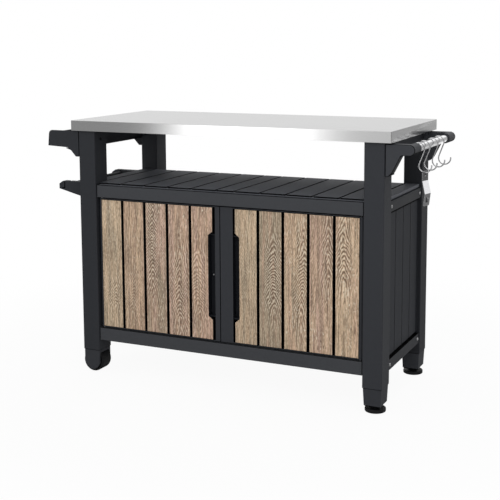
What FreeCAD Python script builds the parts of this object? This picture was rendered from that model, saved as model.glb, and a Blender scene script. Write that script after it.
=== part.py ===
import FreeCAD, Part
import math
import os

from FreeCAD import Vector

# Grill cart with storage. Millimetres. +X runs to the right, +Y to the back, +Z up.
# The origin is on the floor, under the middle of the cabinet.

# Worktop: a folded steel sheet over a moulded frame
WORKTOP_LENGTH = 1160.0
WORKTOP_DEPTH = 520.0
WORKTOP_HEIGHT = 900.0
WORKTOP_EDGE = 36.0
SHEET = 1.2
SHEET_BEND = 1.8
FRAME_BEAM = 44.0
FRAME_RIB = 8.0
FRAME_RIBS = 8
FRAME_STRINGERS = 3

# Legs
LEG_INSET = 24.0
LEG_SET_BACK = 10.0
LEG_WIDTH = 66.0
LEG_DEPTH = 76.0
LEG_WALL = 4.0
LEG_END = 80.0
LEG_ROUND = 3.0
LEG_CHAMFER = 2.5
SNAP_RADIUS = 2.5
SNAP_UP = 17.0
SNAP_IN = 14.0

# Rails of the cabinet
DECK_HEIGHT = 682.0
DECK_PLATE = 10.0
DECK_ABOVE_RAIL = 7.0
MARGIN_DROP = 11.0
MARGIN_PLATE = 7.0
UPPER_RAIL = 43.0
FLOOR_HEIGHT = 165.0
FLOOR_PLATE = 8.0
FLOOR_STEP = 2.0
FLOOR_STEP_GAP = 2.0
LOWER_RAIL = 45.0
RAIL_SET_BACK = 4.0
RAIL_DEPTH = 28.0
RAIL_WALL = 4.0
RAIL_BLOCK = 42.0
RAIL_ROUND = 2.0
SIDE_UPPER_RAIL = 37.0
SHOULDER = 11.0
SHOULDER_DROP = 2.0
SIDE_LOWER_RAIL = 35.0
SEAT = 8.0
PANEL_GAP = 0.5

# Grooves that make planks of the mouldings
DECK_BOARD = 92.0
MIDDLE_BOARD = 69.0
DECK_GROOVE = 8.0
DECK_GROOVE_DEPTH = 5.0
PLANK_PITCH = 88.0
GROOVE = 4.0
GROOVE_DEPTH = 3.0
DECK_SIDE_INSET = 7.0
FLOOR_SIDE_INSET = 14.0
RIB = 3.0
RIB_DROP = 13.0
RIB_INSET = 12.0

# Side and back panels
PANEL = 12.0
SIDE_PANEL_INSET = 9.0
BACK_PANEL_INSET = 3.0
SIDE_PLANK = 83.0
SHADOW_GROOVE = 3.0
LEG_GAP = 3.0
LEG_GAP_DEPTH = 4.0

# Inner shelf and the ledges under it
SHELF_ABOVE_FLOOR = 239.0
SHELF_PLATE = 8.0
SHELF_FRONT = 150.0
SHELF_LIP = 22.0
LEDGE = 12.0

# Aprons under the worktop
APRON_HEIGHT = 48.0
APRON = 14.0

# Doors
DOOR_SIDE_GAP = 3.5
DOOR_END_GAP = 3.5
DOOR_THICK = 18.0
DOOR_SET_BACK = 8.0
DOOR_SEAM = -14.0
DOOR_SEAM_GAP = 3.0
DOOR_RIM = 3.0
DOOR_SKIN = 4.0
DOOR_RIB = 5.0
DOOR_RIBS = 4
DOOR_BACK_RIM = 9.0
STILE_LEFT = 17.0
STILE_RIGHT = 46.0
PLANK_START = 42.0
DOOR_BORDER = 12.5
PLANK_GAP = 10.0
PLANK_THICK = 8.0
PLANK_PROUD = 2.0
PLANK_END_GAP = 1.5
PLANK_ROUND = 0.8
PLANKS = 5

# Hinge pins of the doors
PIN_RADIUS = 3.0
PIN_FIT = 0.08
PIN_IN_DOOR = 15.0
PIN_END_GAP = 0.3
PIN_IN_RAIL = 14.0

# Handle recess in the inner planks
NOTCH_DEPTH = 16.0
NOTCH_HEIGHT = 302.0
NOTCH_DROP = 6.5
NOTCH_CHAMFER = 13.0
POCKET_DEPTH = 18.0
POCKET_WALL = 4.0

# Magnet catches
CATCH_WIDTH = 30.0
CATCH_BODY = 14.0
CATCH_TOP = 24.0
CATCH_DROP = 22.0
CATCH_GAP = 0.3
CATCH_SPREAD = 62.0

# Feet under the right legs
SLEEVE_END = 20.0
SLEEVE_TOP_INSET = 2.5
SLEEVE_END_INSET = 5.0
SLEEVE_CHAMFER = 5.0
PLUG_HEIGHT = 34.0
PLUG_GAP = 0.3
FOOT_RADIUS = 34.0
FOOT_DISC = 12.0
FOOT_ROUND = 3.0
COLLAR_RADIUS = 15.0
STEM_RADIUS = 6.0
STEM_FIT = 0.08
STEM_LENGTH = 44.0
COLLAR_GAP = 0.3

# Wheels and their housings under the left legs
WHEEL_RADIUS = 40.0
WHEEL_GAP = 2.0
WHEEL_ROUND = 5.0
WHEEL_ARCH = 3.0
WHEEL_WEB = 16.0
HUB_RADIUS = 13.0
RIM_WALL = 7.0
AXLE_RADIUS = 4.0
AXLE_FIT = 0.08
AXLE_SEAT = 3.5
HOUSING_INSET = 2.5
HOUSING_CHEEK = 6.5

# Condiment tray on the left
SIDE_REACH = 130.0
TRAY_TOP_GAP = 2.0
TRAY_DEPTH = 57.0
TRAY_RISE = 6.0
TRAY_TIP_LEAN = 5.0
TRAY_TIP_ROUND = 14.0
TRAY_EDGE = 2.0
TRAY_WALL = 4.0
TRAY_WALL_DROP = 9.0
TRAY_FLOOR = 4.0
TRAY_END_INSET = 2.0
GUSSET_DROP = 92.0
GUSSET_FLAT = 15.0
GUSSET_RISE = 22.0
GUSSET_RUN = 20.0
GUSSET_DEPTH = 68.0
GUSSET_ROUND = 12.0

# Paper roll holder on the left
ARM_BESIDE_LEG = 2.0
ARM_THICK = 24.0
ARM_BELOW_DECK = 9.0
ARM_ROOT_HEIGHT = 60.0
ARM_TIP_HEIGHT = 28.0
ARM_TIP_BEVEL = 10.0
ARM_TIP_SLOPE = 15.0
ARM_TIP_ROUND = 4.0
ARM_EDGE = 1.5
ARM_FLANGE = 5.0
ARM_FLANGE_WIDTH = 72.0
CLIP_FROM_TIP = 25.0
CLIP_GAP = 4.0
CLIP_GAP_DEPTH = 2.0
CLIP_REACH = 23.0
CLIP_HOOK = 9.0
ROD_FROM_TIP = 37.0
ROD_FROM_TOP = 13.0
ROD_RADIUS = 7.5
JOURNAL_RADIUS = 4.0
JOURNAL_FIT = 0.08
JOURNAL_LENGTH = 20.0
ROD_END_GAP = 0.4

# Bar on the right
BAR_REACH = 76.5
BAR_DROP = 21.5
BAR_RADIUS = 12.5
BAR_WALL = 1.2
BAR_SOCKET = 40.0
KNUCKLE_RADIUS = 17.0
KNUCKLE_LENGTH = 76.0
BRACKET_INSET = 2.0
BRACKET_FLANGE = 10.0
BRACKET_FLANGE_DEPTH = 68.0
BRACKET_DEPTH = 36.0
BRACKET_HEIGHT = 105.0
BRACKET_HEEL = 12.0
BRACKET_KNEE = 28.0
BRACKET_ROUND = 3.0
BRACKET_KNEE_ROUND = 8.0

# S-hooks on the bar
HOOK_WIRE_RADIUS = 2.0
HOOK_GAP = 0.3
HOOK_UPPER_RADIUS = 18.6
HOOK_LOWER_RADIUS = 20.3
HOOK_OUT = 21.5
HOOK_DROP = 53.1
HOOK_SEAT_ANGLE = 130.0
HOOK_UPPER_END = 205.0
HOOK_TIP = 10.0
HOOKS_FROM_KNUCKLE = (19.0, 81.0, 175.0, 252.0)

# Bottle opener on the first hook
OPENER_WIDTH = 38.0
OPENER_SHEET = 2.0
OPENER_HOLE_RADIUS = 6.5
OPENER_ABOVE = 10.0
OPENER_UPPER = 31.0
OPENER_SLANT = 40.0
OPENER_LOWER = 39.0
OPENER_STEP = 9.5
OPENER_BACK = 5.0
OPENER_TURN = 12.0
OPENER_GAP = 0.4
OPENER_SLOT = 17.0
OPENER_ROUND = 4.0

# Screws
SCREW_HEAD_RADIUS = 5.5
SCREW_HEAD_HEIGHT = 2.6
SCREW_SHANK_RADIUS = 2.4
SCREW_LENGTH = 14.0
SCREW_FROM_END = 16.0
FULL_TURN = 360.0

# Places that follow from the sizes above
HALF_LENGTH = WORKTOP_LENGTH / 2
HALF_DEPTH = WORKTOP_DEPTH / 2
LEG_OUT = HALF_LENGTH - LEG_INSET
LEG_IN = LEG_OUT - LEG_WIDTH
LEG_MIDDLE_X = LEG_OUT - LEG_WIDTH / 2
LEG_FRONT = HALF_DEPTH - LEG_SET_BACK
LEG_BACK = LEG_FRONT - LEG_DEPTH
LEG_MIDDLE_Y = LEG_FRONT - LEG_DEPTH / 2
LEG_TOP = WORKTOP_HEIGHT - WORKTOP_EDGE
RAIL_FACE = LEG_FRONT - RAIL_SET_BACK
RAIL_INNER = RAIL_FACE - RAIL_DEPTH
SIDE_FACE = LEG_OUT - RAIL_SET_BACK
SIDE_INNER = SIDE_FACE - RAIL_DEPTH
SEAT_LINE = RAIL_INNER + SEAT
DECK_UNDER = DECK_HEIGHT - DECK_PLATE
RAIL_TOP = DECK_HEIGHT - DECK_ABOVE_RAIL
MARGIN_TOP = DECK_HEIGHT - MARGIN_DROP
MARGIN_UNDER = MARGIN_TOP - MARGIN_PLATE
FLOOR_UNDER = FLOOR_HEIGHT - FLOOR_PLATE
FLOOR_RIM = FLOOR_HEIGHT - FLOOR_STEP
UPPER_RAIL_UNDER = RAIL_TOP - UPPER_RAIL
SIDE_UPPER_UNDER = DECK_UNDER - SIDE_UPPER_RAIL
SCREW_LEVEL_UPPER = DECK_UNDER - SIDE_UPPER_RAIL / 2
SCREW_LEVEL_LOWER = FLOOR_UNDER - SIDE_LOWER_RAIL / 2
SIDE_PANEL_OUT = SIDE_FACE - SIDE_PANEL_INSET
SIDE_PANEL_IN = SIDE_PANEL_OUT - PANEL
BACK_PANEL_OUT = RAIL_FACE - BACK_PANEL_INSET
BACK_PANEL_IN = BACK_PANEL_OUT - PANEL
SHELF_HEIGHT = FLOOR_HEIGHT + SHELF_ABOVE_FLOOR
SHELF_UNDER = SHELF_HEIGHT - SHELF_PLATE
DOOR_FACE = RAIL_FACE - DOOR_SET_BACK
DOOR_REAR = DOOR_FACE - DOOR_THICK
DOOR_PIN_Y = DOOR_FACE - DOOR_THICK / 2
DOOR_OUT = LEG_IN - DOOR_SIDE_GAP
DOOR_PIN_X = DOOR_OUT - DOOR_THICK / 2
DOOR_BOTTOM = FLOOR_HEIGHT + DOOR_END_GAP
DOOR_TOP = UPPER_RAIL_UNDER - DOOR_END_GAP
NOTCH_MIDDLE = (DOOR_BOTTOM + DOOR_TOP) / 2 - NOTCH_DROP
PLANK_FRONT = DOOR_FACE + PLANK_PROUD
PLANK_BACK = PLANK_FRONT - PLANK_THICK
PLANK_LAST = DOOR_OUT - DOOR_BORDER
PLANK_WIDTH = (PLANK_LAST - PLANK_START - (PLANKS - 1) * PLANK_GAP) / PLANKS
PLANK_STEP = PLANK_WIDTH + PLANK_GAP
HOUSING_FRONT = LEG_FRONT - HOUSING_INSET
WHEEL_HALF = LEG_DEPTH / 2 - HOUSING_INSET - HOUSING_CHEEK - WHEEL_GAP
SIDE_TIP = LEG_OUT + SIDE_REACH
TRAY_TOP = LEG_TOP - TRAY_TOP_GAP
TRAY_BOTTOM_OUT = LEG_TOP - TRAY_DEPTH
TRAY_BOTTOM_IN = TRAY_BOTTOM_OUT - TRAY_RISE
GUSSET_FOOT = LEG_TOP - GUSSET_DROP
ARM_MIDDLE = LEG_BACK + ARM_BESIDE_LEG
ARM_TOP = DECK_HEIGHT - ARM_BELOW_DECK
ARM_FOOT = ARM_TOP - ARM_ROOT_HEIGHT
ROD_X = SIDE_TIP - ROD_FROM_TIP
ROD_Z = ARM_TOP - ROD_FROM_TOP
BAR_X = LEG_OUT + BAR_REACH
BAR_Z = LEG_TOP - BAR_DROP
BRACKET_FOOT = LEG_TOP - BRACKET_HEIGHT
KNUCKLE_INNER = LEG_FRONT - BRACKET_INSET - KNUCKLE_LENGTH
HOOK_PLACES = [distance - KNUCKLE_INNER for distance in HOOKS_FROM_KNUCKLE]


def block(x0, x1, y0, y1, z0, z1):
    """A box between two corners, given in any order."""
    low = Vector(min(x0, x1), min(y0, y1), min(z0, z1))
    return Part.makeBox(abs(x1 - x0), abs(y1 - y0), abs(z1 - z0), low)


def cylinder(radius, start, end):
    """A round bar from one centre to another."""
    axis = end - start
    return Part.makeCylinder(radius, axis.Length, start, axis)


def across(shape):
    """The same piece on the other side, left for right."""
    return shape.mirror(Vector(0, 0, 0), Vector(1, 0, 0))


def behind(shape):
    """The same piece at the back, front for rear."""
    return shape.mirror(Vector(0, 0, 0), Vector(0, 1, 0))


def edges_along(shape, axis, keep=lambda edge: True):
    """Straight edges that run along an axis and that keep accepts."""
    found = []
    for edge in shape.Edges:
        if not isinstance(edge.Curve, Part.Line):
            continue
        run = edge.lastVertex().Point - edge.firstVertex().Point
        if abs(abs(run.normalize() * axis) - 1) < 1e-6 and keep(edge):
            found.append(edge)
    return found


def outline(corners, y0, y1):
    """A plate between two depths, from a closed outline of (x, z, corner radius)."""
    edges = []
    starts = []
    ends = []
    for i, (x, z, radius) in enumerate(corners):
        here = Vector(x, y0, z)
        before = Vector(corners[i - 1][0], y0, corners[i - 1][1])
        after = Vector(corners[(i + 1) % len(corners)][0], y0, corners[(i + 1) % len(corners)][1])
        if radius == 0:
            starts.append(here)
            ends.append(here)
            continue
        to_before = (before - here).normalize()
        to_after = (after - here).normalize()
        half = to_before.getAngle(to_after) / 2
        inward = (to_before + to_after).normalize()
        start = here + to_before * (radius / math.tan(half))
        end = here + to_after * (radius / math.tan(half))
        middle = here + inward * (radius / math.sin(half) - radius)
        edges.append(Part.Arc(start, middle, end).toShape())
        starts.append(start)
        ends.append(end)
    for i in range(len(corners)):
        start = ends[i]
        end = starts[(i + 1) % len(corners)]
        if start.distanceToPoint(end) > 1e-6:
            edges.append(Part.LineSegment(start, end).toShape())
    wire = Part.Wire(Part.__sortEdges__(edges))
    return Part.Face(wire).extrude(Vector(0, y1 - y0, 0))


def ribs_under(x_half, y0, y1, top):
    """A grid of thin ribs under a plate: a row at the pitch of the planks and three across."""
    grid = []
    count = int(x_half // PLANK_PITCH)
    for i in range(-count, count + 1):
        middle = i * PLANK_PITCH
        grid.append(block(middle - RIB / 2, middle + RIB / 2, y0, y1, top - RIB_DROP, top))
    for share in (0, 0.5, 1):
        middle = y0 + RIB / 2 + share * (y1 - y0 - RIB)
        grid.append(block(-x_half, x_half, middle - RIB / 2, middle + RIB / 2, top - RIB_DROP, top))
    return grid


def board_grooves(x_half, y0, y1, top):
    """Grooves that part a plate into boards from front to back, with a narrower board in the middle."""
    cuts = []
    line = MIDDLE_BOARD / 2
    while line < x_half:
        for middle in (line, -line):
            cuts.append(block(middle - DECK_GROOVE / 2, middle + DECK_GROOVE / 2, y0, y1,
                              top - DECK_GROOVE_DEPTH, top))
        line += DECK_BOARD
    return cuts


# Legs
def leg():
    """The front right leg: a hollow tube, open at its lower end, with its top closed."""
    body = block(LEG_IN, LEG_OUT, -LEG_FRONT, -LEG_BACK, LEG_END, LEG_TOP)
    body = body.makeFillet(LEG_ROUND, edges_along(body, Vector(0, 0, 1)))
    lower = [edge for edge in body.Edges if edge.BoundBox.ZMax < LEG_END + 1e-3]
    body = body.makeChamfer(LEG_CHAMFER, lower)
    hollow = block(LEG_IN + LEG_WALL, LEG_OUT - LEG_WALL, -LEG_FRONT + LEG_WALL, -LEG_BACK - LEG_WALL,
                   LEG_END, LEG_TOP - LEG_WALL)
    mouth_z = LEG_END + SNAP_UP
    snap = cylinder(SNAP_RADIUS, Vector(LEG_OUT - LEG_WALL, -LEG_BACK - SNAP_IN, mouth_z),
                    Vector(LEG_OUT, -LEG_BACK - SNAP_IN, mouth_z))
    return body.cut([hollow, snap])


# Front and rear rails, made as the front ones
def rail(top, height, seat_z, groove_line):
    """A channel between the legs, open to the inside, with solid ends, a line at each leg and a seat."""
    body = block(-LEG_IN, LEG_IN, -RAIL_FACE, -RAIL_INNER, top - height, top)
    front = edges_along(body, Vector(1, 0, 0), lambda edge: edge.BoundBox.YMax < -RAIL_FACE + 1)
    body = body.makeFillet(RAIL_ROUND, front)
    reach = LEG_IN - RAIL_BLOCK
    hollow = block(-reach, reach, -RAIL_FACE + RAIL_WALL, -RAIL_INNER,
                   top - height + RAIL_WALL, seat_z - RAIL_WALL)
    seat = block(-LEG_IN, LEG_IN, -SEAT_LINE - groove_line, -RAIL_INNER, seat_z, top)
    gaps = []
    for side in (-1, 1):
        gaps.append(block(side * (LEG_IN - LEG_GAP), side * LEG_IN, -RAIL_FACE, LEG_GAP_DEPTH - RAIL_FACE,
                          top - height, top))
    return body.cut([hollow, seat] + gaps)


def pin_holes(reach_down):
    """Where the door pins enter a rail, at both ends; reach_down is the end in the rail."""
    start, end = reach_down
    holes = []
    for side in (-1, 1):
        holes.append(cylinder(PIN_RADIUS, Vector(side * DOOR_PIN_X, -DOOR_PIN_Y, start),
                              Vector(side * DOOR_PIN_X, -DOOR_PIN_Y, end)))
    return holes


UPPER_PIN_END = UPPER_RAIL_UNDER + PIN_IN_RAIL
LOWER_PIN_END = FLOOR_HEIGHT - PIN_IN_RAIL


def side_rail(top, height, shoulder, screw_z):
    """A right side rail between the legs, lower along its outer edge by the shoulder, with screw holes."""
    body = block(SIDE_INNER, SIDE_FACE, -LEG_BACK, LEG_BACK, top - height, top)
    reach = LEG_BACK - RAIL_BLOCK
    hollow = block(SIDE_INNER, SIDE_FACE - RAIL_WALL, -reach, reach,
                   top - height + RAIL_WALL, top - shoulder - RAIL_WALL)
    holes = []
    for end in (-1, 1):
        y = end * (LEG_BACK - SCREW_FROM_END)
        holes.append(cylinder(SCREW_SHANK_RADIUS, Vector(SIDE_FACE - SCREW_LENGTH, y, screw_z),
                              Vector(SIDE_FACE, y, screw_z)))
    if shoulder:
        holes.append(block(SIDE_FACE - SHOULDER, SIDE_FACE, -LEG_BACK, LEG_BACK, top - shoulder, top))
    return body.cut([hollow] + holes)


def side_screws():
    """Pan-head screws at the ends of the four side rails."""
    screws = []
    for z in (SCREW_LEVEL_UPPER, SCREW_LEVEL_LOWER):
        for end in (-1, 1):
            y = end * (LEG_BACK - SCREW_FROM_END)
            inner = SIDE_FACE - SCREW_LENGTH
            outer = SIDE_FACE + SCREW_HEAD_HEIGHT
            shank = cylinder(SCREW_SHANK_RADIUS, Vector(inner, y, z), Vector(SIDE_FACE, y, z))
            head = cylinder(SCREW_HEAD_RADIUS, Vector(SIDE_FACE, y, z), Vector(outer, y, z))
            rim = [edge for edge in head.Edges if edge.BoundBox.XMin > outer - 1e-3]
            head = head.makeFillet(SCREW_HEAD_HEIGHT / 2, rim)
            screws.append(shank.fuse(head).removeSplitter())
    return screws + [across(screw) for screw in screws]


# Plates of the cabinet
def corner_notches(z0, z1, gap):
    """Room for the four legs at the corners of a plate."""
    cuts = []
    for side in (-1, 1):
        for end in (-1, 1):
            cuts.append(block(side * (LEG_IN - gap), side * WORKTOP_LENGTH, end * (LEG_BACK - gap),
                              end * WORKTOP_DEPTH, z0, z1))
    return cuts


def deck():
    """Boarded top of the cabinet, on the rails' seats, with a lower margin between the rear legs."""
    x_half = SIDE_FACE - DECK_SIDE_INSET
    boards = block(-x_half, x_half, -SEAT_LINE, LEG_BACK, DECK_UNDER, DECK_HEIGHT)
    riser = LEG_BACK - MARGIN_PLATE
    margin = block(-LEG_IN, LEG_IN, riser, SEAT_LINE, MARGIN_UNDER, MARGIN_TOP)
    riser_wall = block(-LEG_IN, LEG_IN, riser, LEG_BACK, MARGIN_UNDER, DECK_UNDER)
    rib_x = SIDE_INNER - RIB_INSET
    rib_y = RAIL_INNER - RIB_INSET
    grid = ribs_under(rib_x, -rib_y, LEG_BACK, DECK_UNDER)
    plate = boards.fuse([margin, riser_wall] + grid).removeSplitter()
    cuts = corner_notches(MARGIN_UNDER - RIB_DROP, DECK_HEIGHT, PANEL_GAP)
    cuts += board_grooves(x_half, -SEAT_LINE, LEG_BACK, DECK_HEIGHT)
    return plate.cut(cuts)


def cabinet_floor():
    """Floor of the cabinet, on the lower rails' seats; its rim lies lower, under doors and side panels."""
    x_half = SIDE_FACE - FLOOR_SIDE_INSET
    rim = block(-x_half, x_half, -SEAT_LINE, SEAT_LINE, FLOOR_UNDER, FLOOR_RIM)
    raised_x = SIDE_PANEL_IN - PANEL_GAP
    raised = block(-raised_x, raised_x, FLOOR_STEP_GAP - DOOR_REAR, SEAT_LINE, FLOOR_UNDER, FLOOR_HEIGHT)
    plate = rim.fuse(raised)
    rib_x = SIDE_INNER - RIB_INSET
    rib_y = RAIL_INNER - RIB_INSET
    grid = ribs_under(rib_x, -rib_y, rib_y, FLOOR_UNDER)
    plate = plate.fuse(grid).removeSplitter()
    return plate.cut(corner_notches(FLOOR_UNDER - RIB_DROP, FLOOR_HEIGHT, PANEL_GAP))


def shelf():
    """Inner shelf with a lip along its front, on the panels' ledges."""
    x_half = SIDE_PANEL_IN - PANEL_GAP
    rear = BACK_PANEL_IN - PANEL_GAP
    plate = block(-x_half, x_half, -SHELF_FRONT, rear, SHELF_UNDER, SHELF_HEIGHT)
    rib_x = x_half - LEDGE - RIB_INSET
    lip = block(-rib_x, rib_x, -SHELF_FRONT, -SHELF_FRONT + RIB, SHELF_HEIGHT - SHELF_LIP, SHELF_UNDER)
    grid = ribs_under(rib_x, -SHELF_FRONT, LEG_BACK - RIB_INSET, SHELF_UNDER)
    plate = plate.fuse(grid + [lip]).removeSplitter()
    return plate.cut(corner_notches(SHELF_UNDER - RIB_DROP, SHELF_HEIGHT, PANEL_GAP))


def side_panel():
    """Right side panel: planked outside, with the shelf's ledge inside."""
    depth = LEG_BACK - PANEL_GAP
    body = block(SIDE_PANEL_IN, SIDE_PANEL_OUT, -depth, depth, FLOOR_RIM, SIDE_UPPER_UNDER)
    ledge = block(SIDE_PANEL_IN - LEDGE, SIDE_PANEL_IN, -SHELF_FRONT, depth - RIB_INSET,
                  SHELF_UNDER - LEDGE, SHELF_UNDER)
    cuts = [block(SIDE_PANEL_OUT - GROOVE_DEPTH, SIDE_PANEL_OUT, -depth, depth,
                  SIDE_UPPER_UNDER - SHADOW_GROOVE, SIDE_UPPER_UNDER)]
    count = int(depth // SIDE_PLANK)
    for i in range(-count, count + 1):
        middle = i * SIDE_PLANK
        cuts.append(block(SIDE_PANEL_OUT - GROOVE_DEPTH, SIDE_PANEL_OUT, middle - GROOVE / 2,
                          middle + GROOVE / 2, FLOOR_RIM, SIDE_UPPER_UNDER))
    return body.fuse(ledge).removeSplitter().cut(cuts)


def back_panel():
    """Back of the cabinet: planked outside, with the shelf's ledge inside."""
    width = LEG_IN - PANEL_GAP
    body = block(-width, width, BACK_PANEL_IN, BACK_PANEL_OUT, FLOOR_HEIGHT, UPPER_RAIL_UNDER)
    reach = width - RIB_INSET
    ledge = block(-reach, reach, BACK_PANEL_IN - LEDGE, BACK_PANEL_IN, SHELF_UNDER - LEDGE, SHELF_UNDER)
    cuts = []
    count = int((width + PLANK_PITCH / 2) // PLANK_PITCH)
    for i in range(count):
        for middle in (PLANK_PITCH * (i + 0.5), -PLANK_PITCH * (i + 0.5)):
            cuts.append(block(middle - GROOVE / 2, middle + GROOVE / 2, BACK_PANEL_OUT - GROOVE_DEPTH,
                              BACK_PANEL_OUT, FLOOR_HEIGHT, UPPER_RAIL_UNDER))
    return body.fuse(ledge).removeSplitter().cut(cuts)


# Worktop
def worktop_sheet():
    """Folded steel sheet: a flat top with four straight edges, open below."""
    body = block(-HALF_LENGTH, HALF_LENGTH, -HALF_DEPTH, HALF_DEPTH, LEG_TOP, WORKTOP_HEIGHT)
    body = body.makeFillet(SHEET_BEND, edges_along(body, Vector(0, 0, 1)))
    upper = [edge for edge in body.Edges if edge.BoundBox.ZMin > WORKTOP_HEIGHT - 1e-3]
    body = body.makeFillet(SHEET_BEND, upper)
    room = block(-HALF_LENGTH + SHEET, HALF_LENGTH - SHEET, -HALF_DEPTH + SHEET, HALF_DEPTH - SHEET,
                 LEG_TOP, WORKTOP_HEIGHT - SHEET)
    return body.cut(room)


def worktop_frame():
    """Moulded frame inside the sheet: a ring of beams with ribs both ways."""
    gap = PANEL_GAP
    x_out = HALF_LENGTH - SHEET - gap
    y_out = HALF_DEPTH - SHEET - gap
    top = WORKTOP_HEIGHT - SHEET
    ring = block(-x_out, x_out, -y_out, y_out, LEG_TOP, top)
    bay = block(-x_out + FRAME_BEAM, x_out - FRAME_BEAM, -y_out + FRAME_BEAM, y_out - FRAME_BEAM,
                LEG_TOP, top)
    ring = ring.cut(bay)
    ribs = []
    pitch = 2 * x_out / (FRAME_RIBS + 1)
    for i in range(FRAME_RIBS):
        middle = -x_out + (i + 1) * pitch
        ribs.append(block(middle - FRAME_RIB / 2, middle + FRAME_RIB / 2, -y_out + FRAME_BEAM,
                          y_out - FRAME_BEAM, LEG_TOP, top))
    spread = 2 * (y_out - FRAME_BEAM) / (FRAME_STRINGERS + 1)
    for i in range(FRAME_STRINGERS):
        middle = -y_out + FRAME_BEAM + (i + 1) * spread
        ribs.append(block(-x_out + FRAME_BEAM, x_out - FRAME_BEAM, middle - FRAME_RIB / 2,
                          middle + FRAME_RIB / 2, LEG_TOP, top))
    return ring.fuse(ribs).removeSplitter()


def side_apron():
    """Right apron: joins the front and rear legs under the worktop."""
    return block(SIDE_FACE - APRON, SIDE_FACE, -LEG_BACK, LEG_BACK, LEG_TOP - APRON_HEIGHT, LEG_TOP)


def rear_apron():
    """Rear apron: joins the rear legs under the worktop."""
    return block(-LEG_IN, LEG_IN, RAIL_FACE - APRON, RAIL_FACE, LEG_TOP - APRON_HEIGHT, LEG_TOP)


# Feet of the right legs
def rectangle(x_half, y_half, z):
    """A rectangle about the right front leg's axis, at a height."""
    x0 = LEG_MIDDLE_X - x_half
    x1 = LEG_MIDDLE_X + x_half
    y0 = -LEG_MIDDLE_Y - y_half
    y1 = -LEG_MIDDLE_Y + y_half
    return Part.makePolygon([Vector(x0, y0, z), Vector(x1, y0, z), Vector(x1, y1, z),
                             Vector(x0, y1, z), Vector(x0, y0, z)])


def foot_sleeve():
    """Tapered sleeve under the front right leg, plugged into it, with the stem's bore."""
    half_x = LEG_WIDTH / 2
    half_y = LEG_DEPTH / 2
    end_x = half_x - SLEEVE_END_INSET
    end_y = half_y - SLEEVE_END_INSET
    stages = [
        rectangle(end_x - SLEEVE_CHAMFER, end_y - SLEEVE_CHAMFER, SLEEVE_END),
        rectangle(end_x, end_y, SLEEVE_END + SLEEVE_CHAMFER),
        rectangle(half_x - SLEEVE_TOP_INSET, half_y - SLEEVE_TOP_INSET, LEG_END),
    ]
    body = Part.makeLoft(stages[:2], True, True).fuse(Part.makeLoft(stages[1:], True, True))
    inset = LEG_WALL + PLUG_GAP
    plug = block(LEG_MIDDLE_X - half_x + inset, LEG_MIDDLE_X + half_x - inset,
                 -LEG_MIDDLE_Y - half_y + inset, -LEG_MIDDLE_Y + half_y - inset,
                 LEG_END, LEG_END + PLUG_HEIGHT)
    tip = SLEEVE_END + STEM_LENGTH
    bore = cylinder(STEM_RADIUS + STEM_FIT, Vector(LEG_MIDDLE_X, -LEG_MIDDLE_Y, SLEEVE_END),
                    Vector(LEG_MIDDLE_X, -LEG_MIDDLE_Y, tip + PLUG_GAP))
    return body.fuse(plug).removeSplitter().cut(bore)


def levelling_foot():
    """Disc on a collar and a stem that turns in the front right sleeve."""
    centre = Vector(LEG_MIDDLE_X, -LEG_MIDDLE_Y, 0)
    disc = cylinder(FOOT_RADIUS, centre, centre + Vector(0, 0, FOOT_DISC))
    rims = [edge for edge in disc.Edges if isinstance(edge.Curve, Part.Circle)]
    disc = disc.makeFillet(FOOT_ROUND, rims)
    collar = cylinder(COLLAR_RADIUS, centre, centre + Vector(0, 0, SLEEVE_END - COLLAR_GAP))
    stem = cylinder(STEM_RADIUS, centre, centre + Vector(0, 0, SLEEVE_END + STEM_LENGTH))
    return disc.fuse([collar, stem]).removeSplitter()


# Wheels of the left legs, made as if under the right ones
def wheel_housing():
    """Fork under the front leg: rounded cheeks, an arch over the wheel and a plug."""
    half = LEG_WIDTH / 2 - HOUSING_INSET
    front = -HOUSING_FRONT
    rear = -LEG_BACK - HOUSING_INSET
    cheek = block(LEG_MIDDLE_X - half, LEG_MIDDLE_X + half, front, rear, WHEEL_RADIUS, LEG_END)
    round_end = cylinder(half, Vector(LEG_MIDDLE_X, front, WHEEL_RADIUS),
                         Vector(LEG_MIDDLE_X, rear, WHEEL_RADIUS))
    inset = LEG_WALL + PLUG_GAP
    plug = block(LEG_IN + inset, LEG_OUT - inset, -LEG_FRONT + inset, -LEG_BACK - inset,
                 LEG_END, LEG_END + PLUG_HEIGHT)
    body = cheek.fuse([round_end, plug]).removeSplitter()
    arch = cylinder(WHEEL_RADIUS + WHEEL_ARCH,
                    Vector(LEG_MIDDLE_X, front + HOUSING_CHEEK, WHEEL_RADIUS),
                    Vector(LEG_MIDDLE_X, rear - HOUSING_CHEEK, WHEEL_RADIUS))
    return body.cut([arch, axle()])


def axle():
    """Pin of the front wheel, from the rear cheek's face into the front cheek."""
    start = -HOUSING_FRONT + HOUSING_CHEEK - AXLE_SEAT
    return cylinder(AXLE_RADIUS, Vector(LEG_MIDDLE_X, start, WHEEL_RADIUS),
                    Vector(LEG_MIDDLE_X, -LEG_BACK - HOUSING_INSET, WHEEL_RADIUS))


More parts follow.
